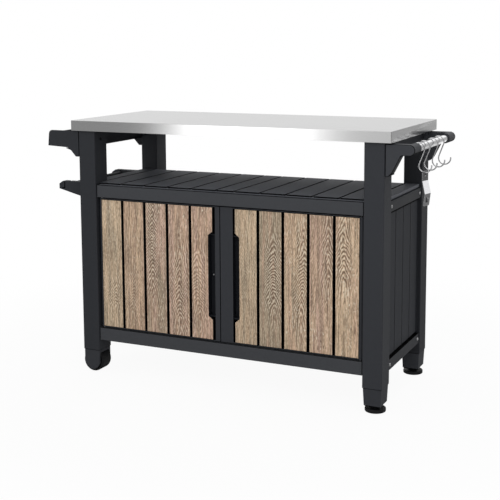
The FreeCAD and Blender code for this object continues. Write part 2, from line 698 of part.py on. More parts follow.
def wheel():
    """Front wheel: a rounded tread on a web, with a hub around the axle."""
    front = -LEG_MIDDLE_Y - WHEEL_HALF
    rear = -LEG_MIDDLE_Y + WHEEL_HALF
    axis = Vector(LEG_MIDDLE_X, 0, WHEEL_RADIUS)
    tread = cylinder(WHEEL_RADIUS, axis + Vector(0, front, 0), axis + Vector(0, rear, 0))
    tread = tread.makeFillet(WHEEL_ROUND, [e for e in tread.Edges if isinstance(e.Curve, Part.Circle)])
    cuts = [cylinder(AXLE_RADIUS + AXLE_FIT, axis + Vector(0, front, 0), axis + Vector(0, rear, 0))]
    deep = WHEEL_HALF - WHEEL_WEB / 2
    for start, end in ((front, front + deep), (rear - deep, rear)):
        outer = cylinder(WHEEL_RADIUS - RIM_WALL, axis + Vector(0, start, 0), axis + Vector(0, end, 0))
        inner = cylinder(HUB_RADIUS, axis + Vector(0, start, 0), axis + Vector(0, end, 0))
        cuts.append(outer.cut(inner))
    return tread.cut(cuts)


# Doors
def door(side):
    """Door panel: side is -1 for the left door, 1 for the right one."""
    seam = DOOR_SEAM + side * DOOR_SEAM_GAP / 2
    stile = STILE_LEFT if side < 0 else STILE_RIGHT
    outer = side * DOOR_PIN_X
    panel = block(seam, outer, -DOOR_FACE, -DOOR_REAR, DOOR_BOTTOM, DOOR_TOP)
    edge = cylinder(DOOR_THICK / 2, Vector(outer, -DOOR_PIN_Y, DOOR_BOTTOM),
                    Vector(outer, -DOOR_PIN_Y, DOOR_TOP))
    panel = panel.fuse(edge).removeSplitter()
    recess = block(seam + side * stile, side * (PLANK_LAST + PLANK_END_GAP), -DOOR_FACE, -PLANK_BACK,
                   DOOR_BOTTOM + DOOR_RIM, DOOR_TOP - DOOR_RIM)
    cuts = [recess]
    for start, end in ((DOOR_BOTTOM, DOOR_BOTTOM + PIN_IN_DOOR), (DOOR_TOP - PIN_IN_DOOR, DOOR_TOP)):
        cuts.append(cylinder(PIN_RADIUS + PIN_FIT, Vector(outer, -DOOR_PIN_Y, start),
                             Vector(outer, -DOOR_PIN_Y, end)))
    cuts += door_back_pockets(side)
    cuts.append(handle_pocket(side, POCKET_WALL))
    return panel.cut(cuts)


def handle_cup(side):
    """Cup pressed into the door behind the notch of the inner plank, for the fingers."""
    return handle_pocket(side, POCKET_WALL).cut(handle_pocket(side, 0))


def door_back_pockets(side):
    """Hollows between the ribs on the inside of a door."""
    near = side * (PLANK_START + NOTCH_DEPTH + POCKET_WALL)
    far = side * (DOOR_PIN_X - DOOR_THICK / 2 - DOOR_RIB)
    width = (abs(far - near) - (DOOR_RIBS - 1) * DOOR_RIB) / DOOR_RIBS
    cuts = []
    middle = (DOOR_BOTTOM + DOOR_TOP) / 2
    for i in range(DOOR_RIBS):
        x0 = near + side * i * (width + DOOR_RIB)
        for z0, z1 in ((DOOR_BOTTOM + DOOR_BACK_RIM, middle - DOOR_RIB / 2),
                       (middle + DOOR_RIB / 2, DOOR_TOP - DOOR_BACK_RIM)):
            cuts.append(block(x0, x0 + side * width, -PLANK_BACK + DOOR_SKIN, -DOOR_REAR, z0, z1))
    return cuts


def handle_pocket(side, wall):
    """Space of the finger pocket behind the notch of the inner plank, or of the cup with its wall."""
    x0 = side * (PLANK_START - PLANK_GAP - wall)
    x1 = side * (PLANK_START + NOTCH_DEPTH + wall)
    z0 = NOTCH_MIDDLE - NOTCH_HEIGHT / 2 + NOTCH_CHAMFER - wall
    z1 = NOTCH_MIDDLE + NOTCH_HEIGHT / 2 - NOTCH_CHAMFER + wall
    return block(x0, x1, -PLANK_BACK, -PLANK_BACK + POCKET_DEPTH + wall, z0, z1)


def plank(side, index):
    """One plank of a door, counted from the door's free edge; the first has the notch."""
    x0 = side * (PLANK_START + index * PLANK_STEP)
    x1 = x0 + side * PLANK_WIDTH
    gap = DOOR_RIM + PLANK_END_GAP
    body = block(x0, x1, -PLANK_FRONT, -PLANK_BACK, DOOR_BOTTOM + gap, DOOR_TOP - gap)
    front = [e for e in body.Edges if e.BoundBox.YMax < -PLANK_FRONT + 1e-3]
    body = body.makeFillet(PLANK_ROUND, front)
    if index > 0:
        return body
    low = NOTCH_MIDDLE - NOTCH_HEIGHT / 2
    high = NOTCH_MIDDLE + NOTCH_HEIGHT / 2
    corners = [(x0, low, 0), (x0 + side * NOTCH_DEPTH, low + NOTCH_CHAMFER, 0),
               (x0 + side * NOTCH_DEPTH, high - NOTCH_CHAMFER, 0), (x0, high, 0)]
    return body.cut(outline(corners, -PLANK_FRONT, -PLANK_BACK))


def door_pins():
    """The four pins that the doors turn on, fast in the rails."""
    pins = []
    for side in (-1, 1):
        for start, end in ((UPPER_PIN_END, DOOR_TOP - PIN_IN_DOOR + PIN_END_GAP),
                           (LOWER_PIN_END, DOOR_BOTTOM + PIN_IN_DOOR - PIN_END_GAP)):
            pins.append(cylinder(PIN_RADIUS, Vector(side * DOOR_PIN_X, -DOOR_PIN_Y, start),
                                 Vector(side * DOOR_PIN_X, -DOOR_PIN_Y, end)))
    return pins


def magnet_catches():
    """Two catches on the back of the upper rail, each a little behind its door."""
    catches = []
    for side in (-1, 1):
        x0 = DOOR_SEAM + side * CATCH_SPREAD - CATCH_WIDTH / 2
        x1 = x0 + CATCH_WIDTH
        body = block(x0, x1, -RAIL_INNER, -RAIL_INNER + CATCH_BODY, UPPER_RAIL_UNDER - CATCH_DROP,
                     UPPER_RAIL_UNDER + CATCH_TOP)
        nose = block(x0, x1, -DOOR_REAR + CATCH_GAP, -RAIL_INNER + CATCH_BODY,
                     UPPER_RAIL_UNDER - CATCH_DROP, UPPER_RAIL_UNDER)
        catches.append(body.fuse(nose).removeSplitter())
    return catches


# Condiment tray on the left
def condiment_tray():
    """Open tray along the left legs, with a gusset against each leg."""
    end = LEG_FRONT - TRAY_END_INSET
    tip = -SIDE_TIP
    corners = [(-LEG_OUT, TRAY_BOTTOM_IN, 0), (tip, TRAY_BOTTOM_OUT, TRAY_EDGE),
               (tip + TRAY_TIP_LEAN, TRAY_TOP, TRAY_TIP_ROUND), (-LEG_OUT, TRAY_TOP, 0)]
    bin_body = outline(corners, -end, end)
    flat = -LEG_OUT - GUSSET_FLAT
    shoulder = flat - GUSSET_RUN
    gusset = [(-LEG_OUT, GUSSET_FOOT, 0), (flat, GUSSET_FOOT, TRAY_EDGE),
              (shoulder, GUSSET_FOOT + GUSSET_RISE, GUSSET_ROUND),
              (shoulder - GUSSET_RISE, TRAY_BOTTOM_IN, 0), (-LEG_OUT, TRAY_BOTTOM_OUT, 0)]
    body = bin_body.fuse([outline(gusset, -end, -end + GUSSET_DEPTH),
                          outline(gusset, end - GUSSET_DEPTH, end)]).removeSplitter()
    room = block(-LEG_OUT - TRAY_WALL, tip + TRAY_TIP_LEAN + TRAY_WALL, -end + TRAY_WALL, end - TRAY_WALL,
                 TRAY_BOTTOM_OUT + TRAY_FLOOR, TRAY_TOP)
    room = room.makeFillet(TRAY_WALL, edges_along(room, Vector(0, 0, 1)))
    low_wall = block(tip, tip + TRAY_TIP_LEAN + 2 * TRAY_WALL, -end + TRAY_WALL, end - TRAY_WALL,
                     TRAY_TOP - TRAY_WALL_DROP, TRAY_TOP)
    gaps = [block(-LEG_OUT - LEG_GAP, -LEG_OUT, side * end, side * (end - LEG_GAP_DEPTH),
                  GUSSET_FOOT, TRAY_TOP) for side in (-1, 1)]
    return body.cut([room, low_wall] + gaps)


# Paper roll holder on the left
def roll_arm():
    """Front arm of the roll holder: a flange on the leg, a slot for the rod, and the line of a clip."""
    front = -ARM_MIDDLE - ARM_THICK / 2
    rear = -ARM_MIDDLE + ARM_THICK / 2
    tip = -SIDE_TIP
    corners = [(-LEG_OUT, ARM_FOOT, 0), (tip, ARM_TOP - ARM_TIP_HEIGHT, ARM_EDGE),
               (tip, ARM_TOP - ARM_TIP_BEVEL, ARM_TIP_ROUND),
               (tip + ARM_TIP_SLOPE, ARM_TOP, ARM_TIP_ROUND), (-LEG_OUT, ARM_TOP, 0)]
    arm = outline(corners, front, rear)
    flange = block(-LEG_OUT - ARM_FLANGE, -LEG_OUT, rear, rear - ARM_FLANGE_WIDTH, ARM_FOOT, ARM_TOP)
    flange = flange.makeFillet(ARM_FLANGE / 2, edges_along(flange, Vector(0, 1, 0),
                               lambda e: e.BoundBox.XMax < -LEG_OUT - ARM_FLANGE + 1))
    body = arm.fuse(flange).removeSplitter()
    seat = JOURNAL_RADIUS + JOURNAL_FIT
    slot_end = front + ARM_THICK - JOURNAL_LENGTH
    slot = block(-ROD_X - seat, -ROD_X + seat, rear, slot_end - ROD_END_GAP, ROD_Z, ARM_TOP)
    bed = cylinder(seat, Vector(-ROD_X, rear, ROD_Z), Vector(-ROD_X, slot_end - ROD_END_GAP, ROD_Z))
    clip_end = tip + CLIP_FROM_TIP
    clip_low = ARM_TOP - CLIP_REACH
    clip_line = block(clip_end - CLIP_GAP, clip_end, front, front + CLIP_GAP_DEPTH, clip_low, ARM_TOP)
    clip_foot = block(clip_end - CLIP_GAP - CLIP_HOOK, clip_end, front, front + CLIP_GAP_DEPTH,
                      clip_low - CLIP_GAP, clip_low)
    return body.cut([slot, bed, clip_line, clip_foot])


def roll_rod():
    """Rod between the arms, with a thinner journal at each end."""
    half = ARM_MIDDLE - ARM_THICK / 2 - ROD_END_GAP
    middle = Vector(-ROD_X, 0, ROD_Z)
    rod = cylinder(ROD_RADIUS, middle - Vector(0, half, 0), middle + Vector(0, half, 0))
    rod = rod.makeFillet(ARM_EDGE, [e for e in rod.Edges if isinstance(e.Curve, Part.Circle)])
    reach = ARM_MIDDLE - ARM_THICK / 2 + JOURNAL_LENGTH
    journal = cylinder(JOURNAL_RADIUS, middle - Vector(0, reach, 0), middle + Vector(0, reach, 0))
    return rod.fuse(journal).removeSplitter()


# Bar on the right
def bar_bracket():
    """Front bracket: a flange on the leg, a gusseted arm and a knuckle that holds the bar."""
    front = -LEG_FRONT + BRACKET_INSET
    knuckle_rear = -KNUCKLE_INNER
    root = LEG_OUT + BRACKET_FLANGE
    top = BAR_Z + KNUCKLE_RADIUS
    under = BAR_Z - KNUCKLE_RADIUS
    end = BAR_X + KNUCKLE_RADIUS
    flange = block(LEG_OUT, root, front, front + BRACKET_FLANGE_DEPTH, BRACKET_FOOT, top)
    heel = root + BRACKET_HEEL
    corners = [(root, BRACKET_FOOT, 0), (heel, BRACKET_FOOT + BRACKET_HEEL, BRACKET_ROUND),
               (heel + BRACKET_KNEE, under, BRACKET_KNEE_ROUND), (end, under, KNUCKLE_RADIUS),
               (end, top, KNUCKLE_RADIUS), (root, top, 0)]
    arm = outline(corners, front, front + BRACKET_DEPTH)
    knuckle = cylinder(KNUCKLE_RADIUS, Vector(BAR_X, front + BRACKET_ROUND, BAR_Z),
                       Vector(BAR_X, knuckle_rear, BAR_Z))
    body = flange.fuse([arm, knuckle]).removeSplitter()
    face = [e for e in body.Edges if e.BoundBox.YMax < front + 1e-3]
    body = body.makeFillet(BRACKET_ROUND, face)
    socket = cylinder(BAR_RADIUS, Vector(BAR_X, knuckle_rear - BAR_SOCKET, BAR_Z),
                      Vector(BAR_X, knuckle_rear, BAR_Z))
    gap = block(LEG_OUT, LEG_OUT + LEG_GAP, front, front + LEG_GAP_DEPTH, BRACKET_FOOT, top)
    return body.cut([socket, gap])


def towel_bar():
    """Steel tube, seated in both knuckles."""
    reach = KNUCKLE_INNER + BAR_SOCKET
    start = Vector(BAR_X, -reach, BAR_Z)
    end = Vector(BAR_X, reach, BAR_Z)
    return cylinder(BAR_RADIUS, start, end).cut(cylinder(BAR_RADIUS - BAR_WALL, start, end))


# S-hooks
def hook_centres():
    """Centres (x, z) of a hook's upper and lower loops."""
    slack = HOOK_UPPER_RADIUS - HOOK_WIRE_RADIUS - BAR_RADIUS - HOOK_GAP
    angle = math.radians(HOOK_SEAT_ANGLE)
    upper = (BAR_X - slack * math.cos(angle), BAR_Z - slack * math.sin(angle))
    lower = (upper[0] + HOOK_OUT, upper[1] - HOOK_DROP)
    return upper, lower


def loop_point(centre, radius, degrees, y):
    """A point of a hook's loop."""
    angle = math.radians(degrees)
    return Vector(centre[0] + radius * math.cos(angle), y, centre[1] + radius * math.sin(angle))


def hook(y):
    """Round wire bent to an S: over the bar, across, and round the lower loop to its tip."""
    upper, lower = hook_centres()
    line = math.degrees(math.atan2(lower[1] - upper[1], lower[0] - upper[0]))
    apart = math.hypot(lower[0] - upper[0], lower[1] - upper[1])
    lean = math.degrees(math.acos((HOOK_UPPER_RADIUS + HOOK_LOWER_RADIUS) / apart))
    leave = line + lean
    arrive = leave + 180
    tip = HOOK_TIP + FULL_TURN
    over = (HOOK_UPPER_END, (HOOK_UPPER_END + leave) / 2, leave)
    round_low = (arrive, (arrive + tip) / 2, tip)
    points = [loop_point(upper, HOOK_UPPER_RADIUS, degrees, y) for degrees in over]
    low = [loop_point(lower, HOOK_LOWER_RADIUS, degrees, y) for degrees in round_low]
    path = Part.Wire([Part.Arc(*points).toShape(), Part.LineSegment(points[2], low[0]).toShape(),
                      Part.Arc(*low).toShape()])
    angle = math.radians(HOOK_UPPER_END)
    heading = Vector(math.sin(angle), 0, -math.cos(angle))
    ring = Part.Wire(Part.makeCircle(HOOK_WIRE_RADIUS, points[0], heading))
    return path.makePipeShell([ring], True, False)


# Bottle opener
def bottle_opener():
    """Steel strip, bent out and a little back, with a hole for the hook and a slot for caps."""
    lower = hook_centres()[1]
    wire_z = lower[1] - HOOK_LOWER_RADIUS
    drop = OPENER_HOLE_RADIUS - HOOK_WIRE_RADIUS - OPENER_GAP
    hole_z = wire_z - drop
    levels = [hole_z + OPENER_ABOVE]
    for length in (OPENER_UPPER, OPENER_SLANT, OPENER_LOWER):
        levels.append(levels[-1] - length)
    half = OPENER_SHEET / 2
    steps = (0, 0, OPENER_STEP, OPENER_STEP - OPENER_BACK)
    front = [(step + half, z) for step, z in zip(steps, levels)]
    back = [(step - half, z) for step, z in zip(steps, levels)]
    section = front + back[::-1]
    points = [Vector(s, -OPENER_WIDTH / 2, z) for s, z in section]
    strip = Part.Face(Part.makePolygon(points + points[:1])).extrude(Vector(0, OPENER_WIDTH, 0))
    tips = [e for e in edges_along(strip, Vector(1, 0, 0))
            if min(abs(e.BoundBox.ZMin - levels[0]), abs(e.BoundBox.ZMin - levels[-1])) < 1e-3]
    strip = strip.makeFillet(OPENER_ROUND, tips)
    hole = cylinder(OPENER_HOLE_RADIUS, Vector(-OPENER_SHEET, 0, hole_z), Vector(OPENER_SHEET, 0, hole_z))
    slot_z = (levels[2] + levels[3]) / 2
    half_slot = OPENER_SLOT / 2
    slot = block(-OPENER_SHEET, OPENER_STEP + OPENER_SHEET, -half_slot, half_slot,
                 slot_z - half_slot, slot_z + half_slot)
    slot = slot.makeFillet(OPENER_ROUND, edges_along(slot, Vector(1, 0, 0)))
    strip = strip.cut([hole, slot])
    strip.rotate(Vector(0, 0, 0), Vector(0, 0, 1), -OPENER_TURN)
    strip.translate(Vector(lower[0], HOOK_PLACES[0], 0))
    return strip


def parts():
    """Every sub-part by name."""
    made = {}
    made["leg_front_right"] = leg()
    made["leg_rear_right"] = behind(leg())
    made["leg_front_left"] = across(leg())
    made["leg_rear_left"] = behind(across(leg()))

    upper = rail(RAIL_TOP, UPPER_RAIL, DECK_UNDER, SHADOW_GROOVE)
    upper_rear = rail(MARGIN_TOP, MARGIN_TOP - UPPER_RAIL_UNDER, MARGIN_UNDER, SHADOW_GROOVE)
    lower = rail(FLOOR_HEIGHT, LOWER_RAIL, FLOOR_UNDER, 0)
    made["rail_front_upper"] = upper.cut(pin_holes((UPPER_RAIL_UNDER, UPPER_PIN_END)))
    made["rail_front_lower"] = lower.cut(pin_holes((LOWER_PIN_END, FLOOR_HEIGHT)))
    made["rail_rear_upper"] = behind(upper_rear)
    made["rail_rear_lower"] = behind(lower)
    upper_side = side_rail(DECK_UNDER, SIDE_UPPER_RAIL, SHOULDER_DROP, SCREW_LEVEL_UPPER)
    lower_side = side_rail(FLOOR_UNDER, SIDE_LOWER_RAIL, 0, SCREW_LEVEL_LOWER)
    for name, piece in (("upper", upper_side), ("lower", lower_side)):
        made["side_rail_right_" + name] = piece
        made["side_rail_left_" + name] = across(piece)
    made["side_screws"] = Part.makeCompound(side_screws())

    made["cabinet_deck"] = deck()
    made["cabinet_floor"] = cabinet_floor()
    made["inner_shelf"] = shelf()
    made["side_panel_right"] = side_panel()
    made["side_panel_left"] = across(side_panel())
    made["back_panel"] = back_panel()
    made["worktop_sheet"] = worktop_sheet()
    made["worktop_frame"] = worktop_frame()
    made["apron_right"] = side_apron()
    made["apron_left"] = across(side_apron())
    made["apron_rear"] = rear_apron()

    made["foot_sleeves"] = Part.makeCompound([foot_sleeve(), behind(foot_sleeve())])
    made["levelling_foot_front"] = levelling_foot()
    made["levelling_foot_rear"] = behind(levelling_foot())
    made["wheel_housing_front"] = across(wheel_housing())
    made["wheel_housing_rear"] = behind(across(wheel_housing()))
    made["wheel_axles"] = Part.makeCompound([across(axle()), behind(across(axle()))])
    made["wheel_front"] = across(wheel())
    made["wheel_rear"] = behind(across(wheel()))

    for side, name in ((-1, "door_left"), (1, "door_right")):
        made[name] = door(side)
        made[name + "_handle_cup"] = handle_cup(side)
        for index in range(PLANKS):
            made[name + "_plank_" + str(index + 1)] = plank(side, index)
    made["door_pins"] = Part.makeCompound(door_pins())
    made["magnet_catches"] = Part.makeCompound(magnet_catches())

    made["condiment_tray"] = condiment_tray()
    made["roll_arm_front"] = roll_arm()
    made["roll_arm_rear"] = behind(roll_arm())
    made["roll_rod"] = roll_rod()
    made["bar_bracket_front"] = bar_bracket()
    made["bar_bracket_rear"] = behind(bar_bracket())
    made["towel_bar"] = towel_bar()
    for index, place in enumerate(HOOK_PLACES):
        made["hook_" + str(index + 1)] = hook(place)
    made["bottle_opener"] = bottle_opener()
    return made


def main():
    os.makedirs("parts", exist_ok=True)
    for name, shape in parts().items():
        if not shape.isValid() or not shape.Solids:
            raise ValueError("not a valid solid: " + name)
        shape.exportStep(os.path.join("parts", name + ".step"))
        print(name, len(shape.Solids), round(shape.Volume / 1000, 1), "cm3")


main()
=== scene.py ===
import math

import bmesh
import bpy
from mathutils import Matrix, Vector


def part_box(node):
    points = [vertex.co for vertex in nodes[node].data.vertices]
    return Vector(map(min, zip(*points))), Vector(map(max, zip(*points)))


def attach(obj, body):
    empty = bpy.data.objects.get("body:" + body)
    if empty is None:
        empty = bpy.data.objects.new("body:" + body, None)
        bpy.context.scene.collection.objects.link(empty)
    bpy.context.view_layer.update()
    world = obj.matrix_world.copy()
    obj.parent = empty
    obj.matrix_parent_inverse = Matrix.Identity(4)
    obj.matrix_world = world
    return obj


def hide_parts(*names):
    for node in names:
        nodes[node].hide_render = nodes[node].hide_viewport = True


# Grill cart with storage, dressed for its portrait. Metres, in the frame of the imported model:
# +X to the right, +Y to the back, +Z up, the doors on the -Y side.
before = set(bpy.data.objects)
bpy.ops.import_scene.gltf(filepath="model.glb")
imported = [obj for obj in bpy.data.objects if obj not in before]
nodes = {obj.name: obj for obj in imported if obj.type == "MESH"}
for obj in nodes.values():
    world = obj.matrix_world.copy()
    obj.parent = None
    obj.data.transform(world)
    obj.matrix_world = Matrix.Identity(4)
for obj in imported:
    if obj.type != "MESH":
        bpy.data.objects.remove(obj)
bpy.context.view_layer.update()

# Camera of the photograph
CAMERA_PLACE = Vector((1.53627, -3.32159, 1.18969))
CAMERA_YAW = -0.43660
CAMERA_PITCH = -0.13139
CAMERA_ROLL = -0.00459
CAMERA_LENS = 76.037
CAMERA_SENSOR = 36.0
CAMERA_SHIFT_Y = -0.15

# Studio floor: its size, where its shadow fades away, and its brightness, plain and seen in steel
FLOOR_RADIUS = 3.0
FLOOR_CORNERS = 96
SHADOW_REACH = (0.9, 1.9)
FLOOR_TONE = (0.86, 0.86, 0.86, 1.0)
FLOOR_WHITE = 0.94
FLOOR_IN_STEEL = 0.36

# Studio light
WHITE = (1.0, 1.0, 1.0, 1.0)
ROOM_LIGHT = 0.66
# What gloss and steel reflect at the height of the horizon: degrees left of -Y, and brightness
HORIZON = ((-180, 1.35), (-174, 1.05), (-167, 0.50), (-160, 0.38), (-152, 0.36), (-147, 0.20),
           (-110, 0.14), (-60, 0.20), (-30, 0.50), (5, 0.64), (17, 0.80), (20.8, 0.86), (21.8, 2.4),
           (29.0, 2.4), (29.8, 0.37), (35, 0.36), (60, 0.36), (120, 0.60), (140, 0.95), (165, 0.95),
           (174, 1.05), (180, 1.35))
BRIGHTEST = 2.5
# The height of a direction where the horizon gives way to a plain sky
SKY_HEIGHT = (0.30, 0.75)
SKY_BRIGHT = 1.0
# A bright window behind the right end: from and to, in degrees and as the height of its direction
WINDOW_ACROSS = (-149, -129)
WINDOW_UP = (0.02, 0.24)
WINDOW_EDGE = (3.0, 0.03)
WINDOW_BRIGHT = 1.75
# Each softbox: its place, what it looks at, its side and its power
SOFTBOXES = {
    "key_softbox": ((1.3, -3.1, 2.4), (0.0, 0.0, 0.5), 2.0, 31.0),
    "fill_softbox": ((-2.6, -3.0, 2.0), (0.0, 0.0, 0.5), 2.4, 6.0),
    "back_softbox": ((0.0, 3.2, 3.2), (0.0, 0.0, 0.6), 2.6, 30.0),
}

# Tones, as linear colours
GRAPHITE = (0.0325, 0.0347, 0.0405, 1.0)
# painted shade: a darker copy of the graphite for the left end, where the light falls off
GRAPHITE_LEFT_PAINTED_SHADE = (0.0250, 0.0270, 0.0318, 1.0)
# painted shade: a darker copy of the graphite for the rear right leg
GRAPHITE_REAR_PAINTED_SHADE = (0.0185, 0.0200, 0.0238, 1.0)
# painted light: a lighter copy of the graphite for the rails, which catch more light from above
GRAPHITE_RAIL_PAINTED_LIGHT = (0.0495, 0.0520, 0.0580, 1.0)
GRAPHITE_SIDE_RAIL = (0.0300, 0.0318, 0.0362, 1.0)
# painted light: the deck's graphite made far lighter, as if no shade fell on it under the worktop
GRAPHITE_DECK_PAINTED_LIGHT = (0.1270, 0.1330, 0.1500, 1.0)
# painted shade: a much darker copy of the graphite for the recessed handle cups
GRAPHITE_CUP_PAINTED_SHADE = (0.0110, 0.0122, 0.0155, 1.0)
# painted light: a lighter copy of the graphite for the bar brackets
GRAPHITE_BRACKET_PAINTED_LIGHT = (0.0430, 0.0455, 0.0520, 1.0)
BLACK_PLASTIC = (0.0070, 0.0074, 0.0085, 1.0)
STAINLESS = (0.62, 0.62, 0.62, 1.0)
BRIGHT_STEEL = (0.80, 0.80, 0.81, 1.0)
DULL_STEEL = (0.44, 0.44, 0.45, 1.0)
HOOK_TONE = (0.72, 0.72, 0.73, 1.0)
ZINC = (0.62, 0.62, 0.63, 1.0)
LIME = (0.80, 0.70, 0.55, 1.0)
UMBER = (0.135, 0.088, 0.058, 1.0)

# Softened edges: samples, and how far the rounded normal leans away where the worn and highlit edge
# begins and is full
EDGE_SAMPLES = 4
EDGE_LEAN = (0.995, 0.86)

# Moulded resin: sizes of its spark-eroded grain and its mottle, and the strength of each effect
RESIN_GLOSS = 0.22
FLAT_GLOSS = 0.14
RESIN_GRAIN = (0.0009, 0.0009, 0.0009)
RESIN_MOTTLE = (0.009, 0.009, 0.009)
MOTTLE_STRENGTH = 0.14
CLOUD_ROUGHNESS = 0.18
# edges lighter partly by wear and partly by a painted highlight
RUBBED_AND_HIGHLIT_EDGE = 0.35
POLISHED_EDGE = -0.08
# Undersides in painted shade: how far a face looks down where the painted shade begins and is full,
# and how dark it gets
UNDERSIDE = (-0.25, -0.60)
UNDERSIDE_SHADE = 0.85
DEEPEST_SHADE = 0.93

# Sunk faces, painted in shade: which way they lie open, and how far a face may look the other way
RIGHT = (1.0, 0.0, 0.0)
BACK = (0.0, 1.0, 0.0)
FRONT = (0.0, -1.0, 0.0)
TOP = (0.0, 0.0, 1.0)
LOOKS_INWARD = -0.5
# Grooves between boards, and the gaps behind the door's planks, in painted shade: below which
# level, how deep, and how near to the middle
DECK_GROOVES = (0.6818, 0.0045, 0.544)
SIDE_GROOVES = (0.5427, 0.0035)
BACK_GROOVES = (0.2427, 0.0035, 0.488)
DOOR_GAPS = (0.2376, 0.0300, 0.4745)
# A groove starts this far behind a piece's face, and is this deep
GROOVE_START = 0.0008
GROOVE_DEPTH = 0.0045
# The front face of the front roll arm, and the depth of its clip's line in painted shade
ARM_FRONT = 0.188
CLIP_DEPTH = 0.0025
# Painted shadow lines where the side panels, their rails and the cabinet's floor meet their
# neighbours
PANEL_TOP_SHADE = 0.0072
RAIL_TOP_SHADE = 0.0006
RAIL_FOOT_SHADE = 0.0024
TOP_MARGIN = 0.0002
END_MARGIN = 0.0003
END_DEPTH = 0.0010

# Brushed steel: where a face counts as an end, the size of streaks and smears, and their strength
END_FACE = (0.6, 0.8)
STREAK_WIDTH = 6.0
SMEAR_SIZE = (0.45, 0.22, 0.22)
LINE_SHARE = 0.45
STREAK_SHARE = 0.55
SMEAR_ROUGHNESS = 0.06
LINE_ROUGHNESS = 0.05

# Limed oak: the width, length, detail, roughness and offset of each kind of figure
PLANK_THROUGH = 9.0
FIGURES = {
    "heart": (9.0, 0.13, 1.0, 0.5, 0.0), "figure": (0.045, 0.15, 1.0, 0.5, 2.0),
    "ripple": (0.012, 0.030, 1.0, 0.5, 4.0), "band": (0.013, 0.33, 2.0, 0.55, 0.0),
    "greyed": (0.016, 0.26, 2.0, 0.5, 6.0), "fibre": (0.0050, 0.110, 2.0, 0.6, 1.0),
    "short": (0.0032, 0.011, 1.0, 0.5, 3.0), "patch": (0.045, 0.10, 1.0, 0.5, 7.0),
    "stray": (0.0036, 0.013, 1.0, 0.5, 5.0), "speck": (0.0034, 0.016, 1.0, 0.5, 9.0),
}
# Growth rings: their pitch, how far the heart wanders, their ripple, and where they arch
RING_PITCH = 0.0068
HEART_WANDER = 0.030
RIPPLE = 1.6
NEAR_HEART = (1.5, 0.6)
ARCH_ENDS = (1.7, 0.7)
STRAIGHT_FORCE = 0.28
ARCHED_FORCE = 0.72
# Soft steps that turn a figure into a mask: from, to, and the mask's values at both
BANDS = (0.38, 0.62)
GREYED = (0.42, 0.66, 0.0, 0.75)
FIBRES = (0.32, 0.68)
SHORT_FIBRES = (0.34, 0.66)
LATE_WOOD = (-0.05, -0.85)
EARLY_WOOD = (0.25, 0.95)
BROKEN_LIME = (0.15, 0.75, 0.25, 1.0)
PATCHES = (0.40, 0.62)
STRAY_LIME = (0.60, 0.72)
SPECKS = (0.62, 0.74, 0.0, 0.68)
# where a plank's face turns from its front to its sides, which get painted shade
PLANK_FRONT = (-0.75, -0.35)
# Their strength in the tone, the roughness and the relief
FIBRE_SWING = 0.60
SHORT_SWING = 0.30
OAK_LIGHTNESS = 0.985
LATE_STRENGTH = 0.84
STRAY_STRENGTH = 0.8
# plank edges paler partly by lime and partly by a painted highlight
LIMED_AND_HIGHLIT_EDGE = 0.45
LIME_STRENGTH = 0.88
FIBRE_RELIEF = 0.5
LIME_RELIEF = -0.5
OAK_ROUGHNESS = 0.58
LIME_ROUGHNESS = 0.12

# Screws
SCREW_RADIUS = 0.0055
SCREW_HEIGHT = 0.0026
SCREW_CROSS = 0.0030
SCREW_CROSS_WIDTH = 0.0009
SCREW_RIM = 24
# The head's rings from foot to crown, and the floor of its cross, as shares of radius and height
SCREW_PROFILE = ((1.0, 0.0), (1.0, 0.45), (0.86, 0.82), (0.62, 1.0))
SCREW_PIT = (0.8, 0.35)
SMALL_SCREW_RADIUS = 0.0030
SMALL_SCREW_HEIGHT = 0.0016
CUP_WALL = 0.004
HANDLE_SCREW = (0.050, 0.391)
LEG_SCREW_DROP = 0.030


# Shader tools
def add(tree, kind, inputs=(), **settings):
    """A shader node. An input that is another node's socket is linked."""
    made = tree.nodes.new("ShaderNode" + kind)
    for label, value in settings.items():
        setattr(made, label, value)
    for label, value in dict(inputs).items():
        if isinstance(value, bpy.types.NodeSocket):
            tree.links.new(value, made.inputs[label])
        else:
            made.inputs[label].default_value = value
    return made


def calc(tree, operation, *values):
    """The result of a math node."""
    return add(tree, "Math", enumerate(values), operation=operation).outputs[0]


def swing(tree, value, amount, base):
    """A base that rises and falls by an amount as the value goes from 0 to 1."""
    return calc(tree, "MULTIPLY_ADD", calc(tree, "SUBTRACT", value, 0.5), amount, base)


def scaled(tree, place, sizes):
    """A place counted in steps of the given sizes along X, Y and Z."""
    return add(tree, "VectorMath", {0: place, 1: sizes}, operation="DIVIDE").outputs[0]


def moved(tree, place, offset):
    """A place shifted by an offset."""
    return add(tree, "VectorMath", {0: place, 1: offset}, operation="ADD").outputs[0]


def reach_along(tree, place, axis):
    """How far a place or a direction reaches along an axis."""
    return add(tree, "VectorMath", {0: place, 1: axis}, operation="DOT_PRODUCT").outputs["Value"]


def noise(tree, place, detail, roughness):
    """Smooth noise from 0 to 1, whose blotches are about one step wide."""
    inputs = {"Vector": place, "Scale": 1.0, "Detail": detail, "Roughness": roughness}
    return add(tree, "TexNoise", inputs).outputs[0]


def ease(tree, value, low, high, start=0.0, end=1.0):
    """A soft step from start to end while the value goes from low to high."""
    inputs = {0: value, 1: low, 2: high, 3: start, 4: end}
    return add(tree, "MapRange", inputs, interpolation_type="SMOOTHSTEP").outputs[0]


def mix(tree, share, first, second):
    """Two colours mixed by a share from 0 to 1."""
    return add(tree, "Mix", {0: share, 6: first, 7: second}, data_type="RGBA").outputs[2]


def between(tree, share, first, second):
    """Two values mixed by a share from 0 to 1."""
    return add(tree, "Mix", {0: share, 2: first, 3: second}, data_type="FLOAT").outputs[0]


